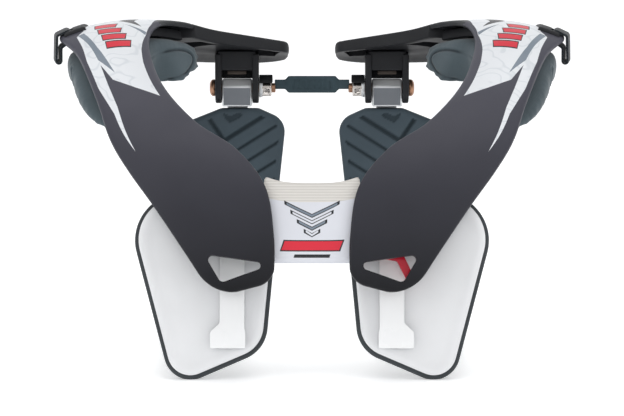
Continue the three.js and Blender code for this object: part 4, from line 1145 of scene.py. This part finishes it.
# Back supports
BLOCK_BELOW, BLOCK_BEHIND, TONGUE_THICKNESS, BACK_PLATE_THICKNESS = 11.6, 9.4, 3.6, 2.8
BACK_TOP = PIVOT[2] - BLOCK_BELOW - 1.2
BACK_PAD_REAR = PIVOT[1] + BLOCK_BEHIND - TONGUE_THICKNESS - BACK_PLATE_THICKNESS - 2 * GAP
BACK_PAD_THICKNESS, BACK_PAD_ROUND = 9.0, 3.24
BACK_CORNERS = (
    (0.065, 1, 5), (0.235, 0.928, 12), (0.314, 0.45, 60), (0.333, -0.012, 20),
    (0.052, -0.012, 16), (-0.163, 0.55, 60), (-0.203, 0.945, 12), (-0.088, 1, 5),
)
CHEVRON_AT = np.array((55.7, 122.7))
CHEVRON_STEP = np.array((2.72, -12.8))
CHEVRON_INNER, CHEVRON_OUTER = math.radians(148), math.radians(56)
CHEVRON_COUNT, CHEVRON_HALF_WIDTH, GROOVE_EDGE, GROOVE_DEPTH, BACK_BORDER = 11, 0.85, 0.45, 1.1, 3.7
TOP_HALF_WIDTH, TOP_INNER_REACH, TOP_OUTER_REACH = 1.3, 30, 17
MARK = [
    (55.9, 140.2), (52.3, 138.2), (46.8, 140.6), (44.1, 139.5), (44.1, 138.5), (52.2, 134.0),
    (55.9, 138.5),
]


def back_outline():
    corners = [(PIVOT[0] + x * HALF_WIDTH, z * BACK_TOP, r) for x, z, r in BACK_CORNERS]
    return resampled(rounded_outline(corners, 20), 1.5)


def build_back(side_name, side):
    body = f"back_support_{side_name}"
    outline = back_outline()
    rows = [(0.9, 0, 0.8), (0.9, 0, 0.4), (0.9, 0, 0), (0.3, 0.3, 0), (0, 0.9, 0)]
    radius, flat_from = BACK_PAD_ROUND, BACK_PAD_THICKNESS - BACK_PAD_ROUND
    for a in spread(0, math.pi / 2, 7):
        rows.append((radius * (1 - math.cos(a)), flat_from + radius * math.sin(a), 0))
    rows += [(radius, BACK_PAD_THICKNESS, drawn) for drawn in (0.4, 0.8)]

    def place(u, v, height):
        return np.array((u, BACK_PAD_REAR - height, v))

    made = to_object(f"back_cushion_{side_name}", slab(outline, rows, place), ["slate"], side)
    cut_below_floor(made)
    remesh(made, 0.85)
    groove_back(made, side, outline)
    keep(made, body, "foam_rubber", f"back_pad_{side_name}")


def groove_back(made, side, outline):
    """Chevron grooves and a small V mark pressed into the pad's front, inside a plain border, and darkened
    there with painted shade.
    """
    data = made.data
    points = coordinates(data) * 1000
    flat = np.stack([points[:, 0] * side, points[:, 2]], axis=1)
    normals = np.array([v.normal for v in data.vertices])
    front = normals[:, 1] < -0.5
    border = np.array(inset_outline(outline, BACK_BORDER))
    within = np.zeros(len(flat), bool)
    for (x1, y1), (x2, y2) in zip(border, np.roll(border, -1, axis=0)):
        crosses = (y1 > flat[:, 1]) != (y2 > flat[:, 1])
        slope = (x2 - x1) / (y2 - y1) if abs(y2 - y1) > 1e-9 else 0
        within ^= crosses & (flat[:, 0] < x1 + slope * (flat[:, 1] - y1))
    pressed = np.zeros(len(flat))
    for k in range(CHEVRON_COUNT):
        vertex = CHEVRON_AT + CHEVRON_STEP * k
        half = CHEVRON_HALF_WIDTH if k else TOP_HALF_WIDTH
        for angle, top_reach in ((CHEVRON_INNER, TOP_INNER_REACH), (CHEVRON_OUTER, TOP_OUTER_REACH)):
            way = np.array((math.cos(angle), math.sin(angle)))
            reach = np.clip((flat - vertex) @ way, 0, 80 if k else top_reach)
            away = np.linalg.norm(flat - vertex - reach[:, None] * way, axis=1)
            depth = (half + GROOVE_EDGE - away) / (2 * GROOVE_EDGE)
            pressed = np.maximum(pressed, np.clip(depth, 0, 1))
    pressed *= within
    mark = np.array([inside(p, MARK) for p in flat])
    pressed = np.maximum(pressed, mark * 0.7)
    pressed *= front
    points[:, 1] += pressed * GROOVE_DEPTH
    place_all(data, points * 0.001)
    # The pressed depth is kept to paint shade into the grooves and the mark.
    attribute = data.attributes.new("groove_shade", "FLOAT", "POINT")
    attribute.data.foreach_set("value", (pressed * 0.85).astype(np.float32))


def refined(node, name, width, finish, slot_name, body=ROOT):
    """A copy of a solid whose form is already right, with a finish and rounded edges."""
    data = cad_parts[node].data.copy()
    data.materials.clear()
    data.materials.append(FINISHES[finish])
    bm = bmesh.new()
    bm.from_mesh(data)
    bmesh.ops.remove_doubles(bm, verts=bm.verts, dist=2e-6)
    bmesh.ops.dissolve_limit(bm, angle_limit=math.radians(2), verts=bm.verts, edges=bm.edges)
    for f in bm.faces:
        f.material_index = 0
    bm.to_mesh(data)
    bm.free()
    made = new_object(name, data)
    bevel(made, width, 3, 30, 32)
    keep(made, body, slot_name, node)


# Pivots: block, bolt, nut with its cap, and screws
EAR_FACE = BLOCK_WIDTH / 2 + EAR_SIDE + EAR_THICKNESS
TONGUE_HALF_WIDTH, TONGUE_BELOW = 6.5, 55.6
BOLT_RADIUS, BOLT_HEAD, HEAD_SOCKET, TIP_SOCKET = 3, 5.4, 1.65, 1.95
NUT_FLANGE, NUT_HEX, NUT_BORE, NUT_ACROSS = 2.2, 5.6, 3.3, 5.2
CAP_OUTER, CAP_INNER, CAP_WIDTH, CAP_HALF_TURN = 8.3, 6.5, 8.4, math.radians(62)
SCREWS_BELOW = (("upper", 19), ("lower", 36))


def build_block(side_name, side):
    """Brushed block whose upward faces and bevels take a lighter, less metallic aluminium: partly the
    brighter cut of its chamfers, partly a painted highlight; and its tongue down the back.
    """
    profile = [
        (-7, -BLOCK_BELOW), (-7, 1), (-2.3, 5.7), (4.4, 5.7),
        (BLOCK_BEHIND, 0.7), (BLOCK_BEHIND, -BLOCK_BELOW),
    ]
    block = extruded(profile, BOLT_AXES, PIVOT, BLOCK_WIDTH)
    made = to_object(f"chamfered_block_{side_name}", block, ["brushed", "bright"], side)
    # Faces that look up take the lighter, less metallic aluminium as a painted highlight; the bevels below
    # take it too.
    for f in made.data.polygons:
        f.material_index = int(f.normal.z > 0.3)
    bevel(made, 0.9, 2, 30, None, 1)
    low = PIVOT + (-TONGUE_HALF_WIDTH, BLOCK_BEHIND - TONGUE_THICKNESS, -TONGUE_BELOW)
    high = PIVOT + (TONGUE_HALF_WIDTH, BLOCK_BEHIND, -6)
    tongue = to_object("tongue", box_form(low, high), ["bright"], side)
    bevel(tongue, 0.8, 3, 40, 48)
    for f in tongue.data.polygons:
        f.material_index = 1
    join_into(made, tongue)
    keep(made, f"back_support_{side_name}", "aluminium", f"pivot_block_{side_name}")


def build_bolt(side_name, side):
    head = EAR_FACE + GAP
    tip = -(EAR_FACE + NUT_FLANGE + NUT_HEX + 2 * GAP + 2.2)
    rows = [(0.01, tip), (1.9, tip), (2.0, tip), (2.6, tip), (BOLT_RADIUS, tip + 0.4)]
    rows += [(BOLT_RADIUS, head), (BOLT_HEAD - 0.3, head), (BOLT_HEAD, head + 0.3)]
    for a in spread(0, 1.35, 7):
        rows.append((BOLT_HEAD - 3.74 * (1 - math.cos(a)), head + 1.0 + 2.4 * math.sin(a)))
    rows += [(1.7, head + 3.36), (1.6, head + 2.4), (0.01, head + 2.3)]
    made = to_object(f"cap_bolt_{side_name}", turned(rows, ALONG_X, PIVOT), ["copper", "socket_shade"], side, 35)
    # The head's socket and a disc on the flat tip take the near-black finish: painted shade, and on the tip
    # a painted hole.
    for f in made.data.polygons:
        at = Vector(f.center) * 1000 - Vector((PIVOT[0] * side, PIVOT[1] + SHIFT_Y, PIVOT[2]))
        radius = math.hypot(at.y, at.z)
        in_head = at.x * side > head + 2.0 and radius < HEAD_SOCKET
        in_tip = at.x * side < tip + 0.1 and radius < TIP_SOCKET
        f.material_index = int(in_head or in_tip)
    keep(made, ROOT, "copper", f"pivot_bolt_{side_name}")


def build_nut(side_name, side):
    face = -EAR_FACE - GAP
    back = face - NUT_FLANGE
    rows = [(NUT_BORE, face), (6.0, face), (6.1, face - 0.2), (6.1, face - 1.3)]
    rows += [(5.5, back), (NUT_BORE, back)]
    made = to_object(f"flanged_nut_{side_name}", turned(rows, ALONG_X, PIVOT), ["bright"], side)
    radius = NUT_ACROSS / math.cos(math.pi / 6)
    corners = [(radius * math.cos(a), radius * math.sin(a)) for a in spread(0, 5 * math.pi / 3, 5)]
    length = NUT_HEX + NUT_FLANGE / 2
    centre = PIVOT + (face - (NUT_FLANGE + length) / 2, 0, 0)
    form = extruded(corners, BOLT_AXES, centre, length)
    hexagon = to_object(f"nut_hexagon_{side_name}", form, ["chrome"], side)
    bevel(hexagon, 0.5, 3, 40, 48)
    cut(hexagon, turned([(NUT_BORE, -20), (NUT_BORE, 20)], ALONG_X, centre), side)
    drill = PIVOT + (face - 4.9, -3.9, -1.4)
    cut(hexagon, turned([(0.01, 0), (1.25, 0), (1.25, 8), (0.01, 8)], (0, -1, -0.1), drill, 24), side)
    keep(hexagon, ROOT, "chrome_steel")
    keep(made, ROOT, "chrome_steel", f"pivot_nut_{side_name}")


def build_cover(side_name, side):
    profile = []
    for radius, turn in ((CAP_OUTER, CAP_HALF_TURN), (CAP_INNER, -CAP_HALF_TURN)):
        profile += [(radius * math.sin(a), radius * math.cos(a)) for a in spread(-turn, turn, 28)]
    centre = PIVOT - (EAR_FACE + GAP + CAP_WIDTH / 2, 0, 0)
    cap = extruded(profile, BOLT_AXES, centre, CAP_WIDTH)
    made = to_object(f"nut_cap_{side_name}", cap, ["black_soft"], side)
    bevel(made, 0.5, 3, 50, 58)
    keep(made, ROOT, "black_rubber", f"nut_cover_{side_name}")


def build_screws(side_name, side):
    rows = [(0.01, 0), (3.1, 0), (3.2, 0.15), (3.1, 0.9), (2.5, 1.6), (1.9, 1.8), (1.5, 1.8)]
    rows += [(1.45, 0.7), (0.01, 0.6)]
    for place_name, below in SCREWS_BELOW:
        centre = PIVOT + (0, BLOCK_BEHIND + GAP, -BLOCK_BELOW - below)
        screw = turned(rows, (0, 1, 0), centre, 32)
        made = to_object(f"button_screw_{place_name}_{side_name}", screw, ["steel"], side, 35)
        keep(made, f"back_support_{side_name}", "steel", f"back_screw_{place_name}_{side_name}")


# Sleeve over the joint of the halves
SLEEVE_BOTTOM, SLEEVE_TOP = 0.335 * CREST_HEIGHT, 0.5825 * CREST_HEIGHT
SLEEVE_DIP, SLEEVE_WALL, SLEEVE_TUCK, SLEEVE_BULGE, SLEEVE_SEAT = 4.2, 1.9, 1.6, 1.6, 0.4
SLEEVE_REACH, SLEEVE_LOWER, SLEEVE_CORNER, SLEEVE_CLOSED = 27.0, 2.2, 2.4, 2.2
LINK_THICKNESS = 3.2


def inner_edge_at(z):
    low, high = -0.5, 4.0
    for _ in range(30):
        middle = (low + high) / 2
        if frame_edges(middle)[0][2] < z:
            low = middle
        else:
            high = middle
    return frame_edges(low)[0]


SLEEVE_SETBACK = inner_edge_at(SLEEVE_TOP)[1] - inner_edge_at(SLEEVE_BOTTOM)[1]
SLEEVE_TILT = math.atan2(SLEEVE_SETBACK, SLEEVE_TOP - SLEEVE_BOTTOM)
SLEEVE_HEIGHT = (SLEEVE_TOP - SLEEVE_BOTTOM) / math.cos(SLEEVE_TILT)


def sleeve_place(share, v, height):
    z = SLEEVE_BOTTOM + v * math.cos(SLEEVE_TILT)
    inner = inner_edge_at(z)
    depth = SHELL_THICKNESS + GAP + SLEEVE_SEAT
    y = inner[1] + depth / math.cos(SLEEVE_TILT) - height * math.cos(SLEEVE_TILT)
    reach = min(inner[0] + SLEEVE_TUCK, SLEEVE_REACH)
    return np.array((share * reach, y, z + height * math.sin(SLEEVE_TILT)))


SLEEVE_THICKNESS = LINK_THICKNESS + 2 * GAP + 2 * SLEEVE_WALL
BAND_FROM, BAND_PITCH, SLEEVE_ROUND = 0.735, 2.6, 3.6


def sleeve_height_at(share, k):
    top = SLEEVE_HEIGHT - SLEEVE_LOWER - SLEEVE_DIP * (1 - abs(share) ** 3)
    corner = round_in((1 - min(abs(share), 1)) * SLEEVE_REACH, SLEEVE_CORNER)
    return (top - corner) * k


def sleeve_surface(share, k, layer):
    """share across, k from bottom to top, layer 1 in front and 0 behind."""
    v = sleeve_height_at(share, k)
    bulge = SLEEVE_BULGE * (1 - share * share) * math.sin(math.pi * k)
    drop = edge_drop(min(k, 1 - k) * SLEEVE_HEIGHT, SLEEVE_ROUND)
    turns = (k - BAND_FROM) * SLEEVE_HEIGHT / BAND_PITCH
    ribs = -0.07 * (1 + math.cos(2 * math.pi * turns)) if k > BAND_FROM else 0.0
    front = bulge - drop + ribs
    return sleeve_place(share, v, front if layer > 0.5 else -SLEEVE_THICKNESS + drop)


SLEEVE_FINISHES = ["sleeve", "band", "print_grey", "print_red", "print_black", "foam"]
SLEEVE_RUBBER, SLEEVE_BAND, SLEEVE_FOAM = 0, 1, 5
CHEVRONS = ((0.62, 0.16), (0.5, 0.13), (0.36, 0.095), (0.2, 0.055))


def chevron_line(y, reach, rise, thick):
    upper = [(-reach, y + rise), (0, y), (reach, y + rise)]
    return upper + [(x, v - thick) for x, v in upper[::-1]]


def build_sleeve():
    shares = spread(-1, 1, 64)
    ks = [0, 0.004, 0.012, 0.025, 0.045, 0.07] + spread(0.1, BAND_FROM, 26)
    ks += spread(BAND_FROM + 0.004, 0.93, 44) + [0.945, 0.958, 0.97, 0.98, 0.988, 0.995, 1]
    prints = [(SLEEVE_BAND, [(-1.01, BAND_FROM), (1.01, BAND_FROM), (1.01, 1.01), (-1.01, 1.01)])]
    for n, (width, rise) in enumerate(CHEVRONS):
        prints.append((BLACK, chevron_line(0.585 - 0.08 * n, width, rise, 0.05)))
        core = chevron_line(0.574 - 0.08 * n, width - 0.05, rise * 0.9, 0.027)
        prints.append((SLEEVE_RUBBER if n % 2 else GREY, core))
    prints.append((BLACK, [(-0.80, 0.12), (-0.70, 0.26), (0.80, 0.26), (0.70, 0.12)]))
    prints.append((RED, [(-0.76, 0.135), (-0.67, 0.245), (0.76, 0.245), (0.67, 0.135)]))
    prints.append((BLACK, [(-0.46, 0.045), (-0.43, 0.085), (0.46, 0.085), (0.43, 0.045)]))
    for way in (1, -1):
        end, inner = -1.01 * way, -0.955 * way
        prints.append((SLEEVE_FOAM, [(end, 0.02), (inner, 0.02), (inner, BAND_FROM), (end, BAND_FROM)]))
    bm = placed(layered(shares, ks), sleeve_surface, prints)
    made = to_object("soft_sleeve", bm, SLEEVE_FINISHES, 1, 60)
    rings = []
    behind = SLEEVE_WALL - SLEEVE_THICKNESS
    for share in spread(-1.1, 1.1, 24):
        low, high = SLEEVE_CLOSED, sleeve_height_at(share, 1) - SLEEVE_CLOSED
        front = [sleeve_place(share, v, -SLEEVE_WALL) for v in spread(low, high, 8)]
        rings.append(front + [sleeve_place(share, v, behind) for v in spread(high, low, 8)])
    cut(made, loft(rings))
    keep(made, ROOT, "sleeve_rubber", "front_sleeve")


# Strap between the rear bolts: thin necks and a bordered panel with low ribs
STRAP_RAISED, STRAP_ROUND, STRAP_SHOULDER, STRAP_BORDER = 2.2, 1.2, 3, 1.8
STRAP_NECK, STRAP_PANEL = (6, 4), (10.6, 5)
STRAP_RECESS, STRAP_RIB, STRAP_RIB_PITCH = 0.95, 0.5, 3.4


def build_strap():
    end = PIVOT[0] - EAR_FACE - NUT_FLANGE - NUT_HEX
    half = 0.633 * (end - 3 * GAP - 2.2)
    reach = end - 2.3
    xs = spread(-reach, -half - 3, 8) + spread(-half - 2.4, -half, 4) + spread(-half + 0.6, half - 0.6, 60)
    xs += spread(half, half + 2.4, 4) + spread(half + 3, reach, 8)
    rings = []
    for x in xs:
        k = smooth((half + STRAP_SHOULDER - abs(x)) / STRAP_SHOULDER)
        h, d = (mix(neck, panel, k) / 2 for neck, panel in zip(STRAP_NECK, STRAP_PANEL))
        field = k * smooth((half - STRAP_BORDER - abs(x)) / 1.2)
        rib = STRAP_RIB * (1 + math.cos(2 * math.pi * x / STRAP_RIB_PITCH)) / 2
        ring = []
        for z in spread(h - STRAP_ROUND, STRAP_ROUND - h, 12):
            recess = field * smooth((h - STRAP_BORDER - 0.1 - abs(z)) / 0.7)
            ring.append((-d + recess * (STRAP_RECESS - rib), z))
        corner = []
        for a in spread(0.3, 1.57, 4):
            corner.append((-d + STRAP_ROUND * (1 - math.cos(a)), -h + STRAP_ROUND * (1 - math.sin(a))))
        back = [(-y, -z) for y, z in ring[::4]]
        opposite = [(-y, z) for y, z in corner[::-1]]
        whole = ring + corner + opposite + back
        whole += [(-y, -z) for y, z in corner] + [(y, -z) for y, z in corner[::-1]]
        rings.append([(x, PIVOT[1] + y, PIVOT[2] + STRAP_RAISED + z) for y, z in whole])
    made = to_object("ribbed_strap", loft(rings), ["strap"], 1, 50)
    keep(made, ROOT, "strap_rubber", "rear_strap")


BUILDERS = (
    build_shell, build_insert, build_chassis, build_loop, build_chest, build_back, build_bolt,
    build_nut, build_cover, build_screws, build_chest_arm, build_block,
)
for side_name, side in SIDES.items():
    body = f"back_support_{side_name}"
    for build in BUILDERS:
        build(side_name, side)
    refined(f"bumper_{side_name}", f"rubber_bumper_{side_name}", 0.5, "bumper", "black_rubber")
    refined(f"back_plate_{side_name}", f"hard_back_{side_name}", 0.4, "black", "black_plastic", body)
build_shoulder_pads()
build_sleeve()
build_strap()
refined("front_link", "joining_bar", 0.4, "black", "black_plastic")
refined("release_lever", "red_lever", 0.6, "red", "red_plastic", "lever")


# Studio: a pale floor that curves up behind, and soft lights
def build_stage():
    half, front, rear, bend, top = 6.0, -4.0, 3.2, 1.2, 5.0
    line = [(front, 0.0), (rear - bend, 0.0)]
    for a in spread(0.1, math.pi / 2, 16):
        line.append((rear - bend + bend * math.sin(a), bend - bend * math.cos(a)))
    line.append((rear, top))
    bm = bmesh.new()
    rows = [[bm.verts.new((x, y, z)) for x in (-half, half)] for y, z in line]
    for one, other in zip(rows, rows[1:]):
        bm.faces.new((one[0], one[1], other[1], other[0]))
    for f in bm.faces:
        f.smooth = True
    data = bpy.data.meshes.new("floor")
    bm.to_mesh(data)
    bm.free()
    floor = new_object("floor", data)
    made = Finish("floor_paper", "#f7f8f9", 0.22, Emission_Color=(1, 1, 1, 1), Emission_Strength=0.35)
    made.rough(made.ranged(made.noise(3, 2), 0.3, 0.7, 0.28, 0.36))
    data.materials.append(made.material)


LIGHT_AIM = Vector((0, 0, 0.1))
LIGHTS = (
    ("light_above", (0, -0.3, 2.2), (2.6, 2.0), 17),
    ("light_left", (-2.0, -1.4, 1.1), (1.4, 1.8), 12),
    ("light_right", (2.0, -1.2, 0.9), (1.4, 1.8), 9),
    ("light_front", (0.2, -2.6, 1.0), (2.0, 1.2), 5),
)


def soft_light(name, place, size, power):
    data = bpy.data.lights.new(name, "AREA")
    data.shape = "RECTANGLE"
    data.size, data.size_y = size
    data.energy = power
    lamp = new_object(name, data)
    lamp.location = place
    lamp.rotation_euler = (LIGHT_AIM - lamp.location).to_track_quat("-Z", "Y").to_euler()


build_stage()
for light in LIGHTS:
    soft_light(*light)
world = bpy.data.worlds.new("studio")
world.use_nodes = True
background = world.node_tree.nodes["Background"]
background.inputs["Color"].default_value = (1, 1, 1, 1)
background.inputs["Strength"].default_value = 0.5
bpy.context.scene.world = world
bpy.context.scene.view_settings.view_transform = "Standard"
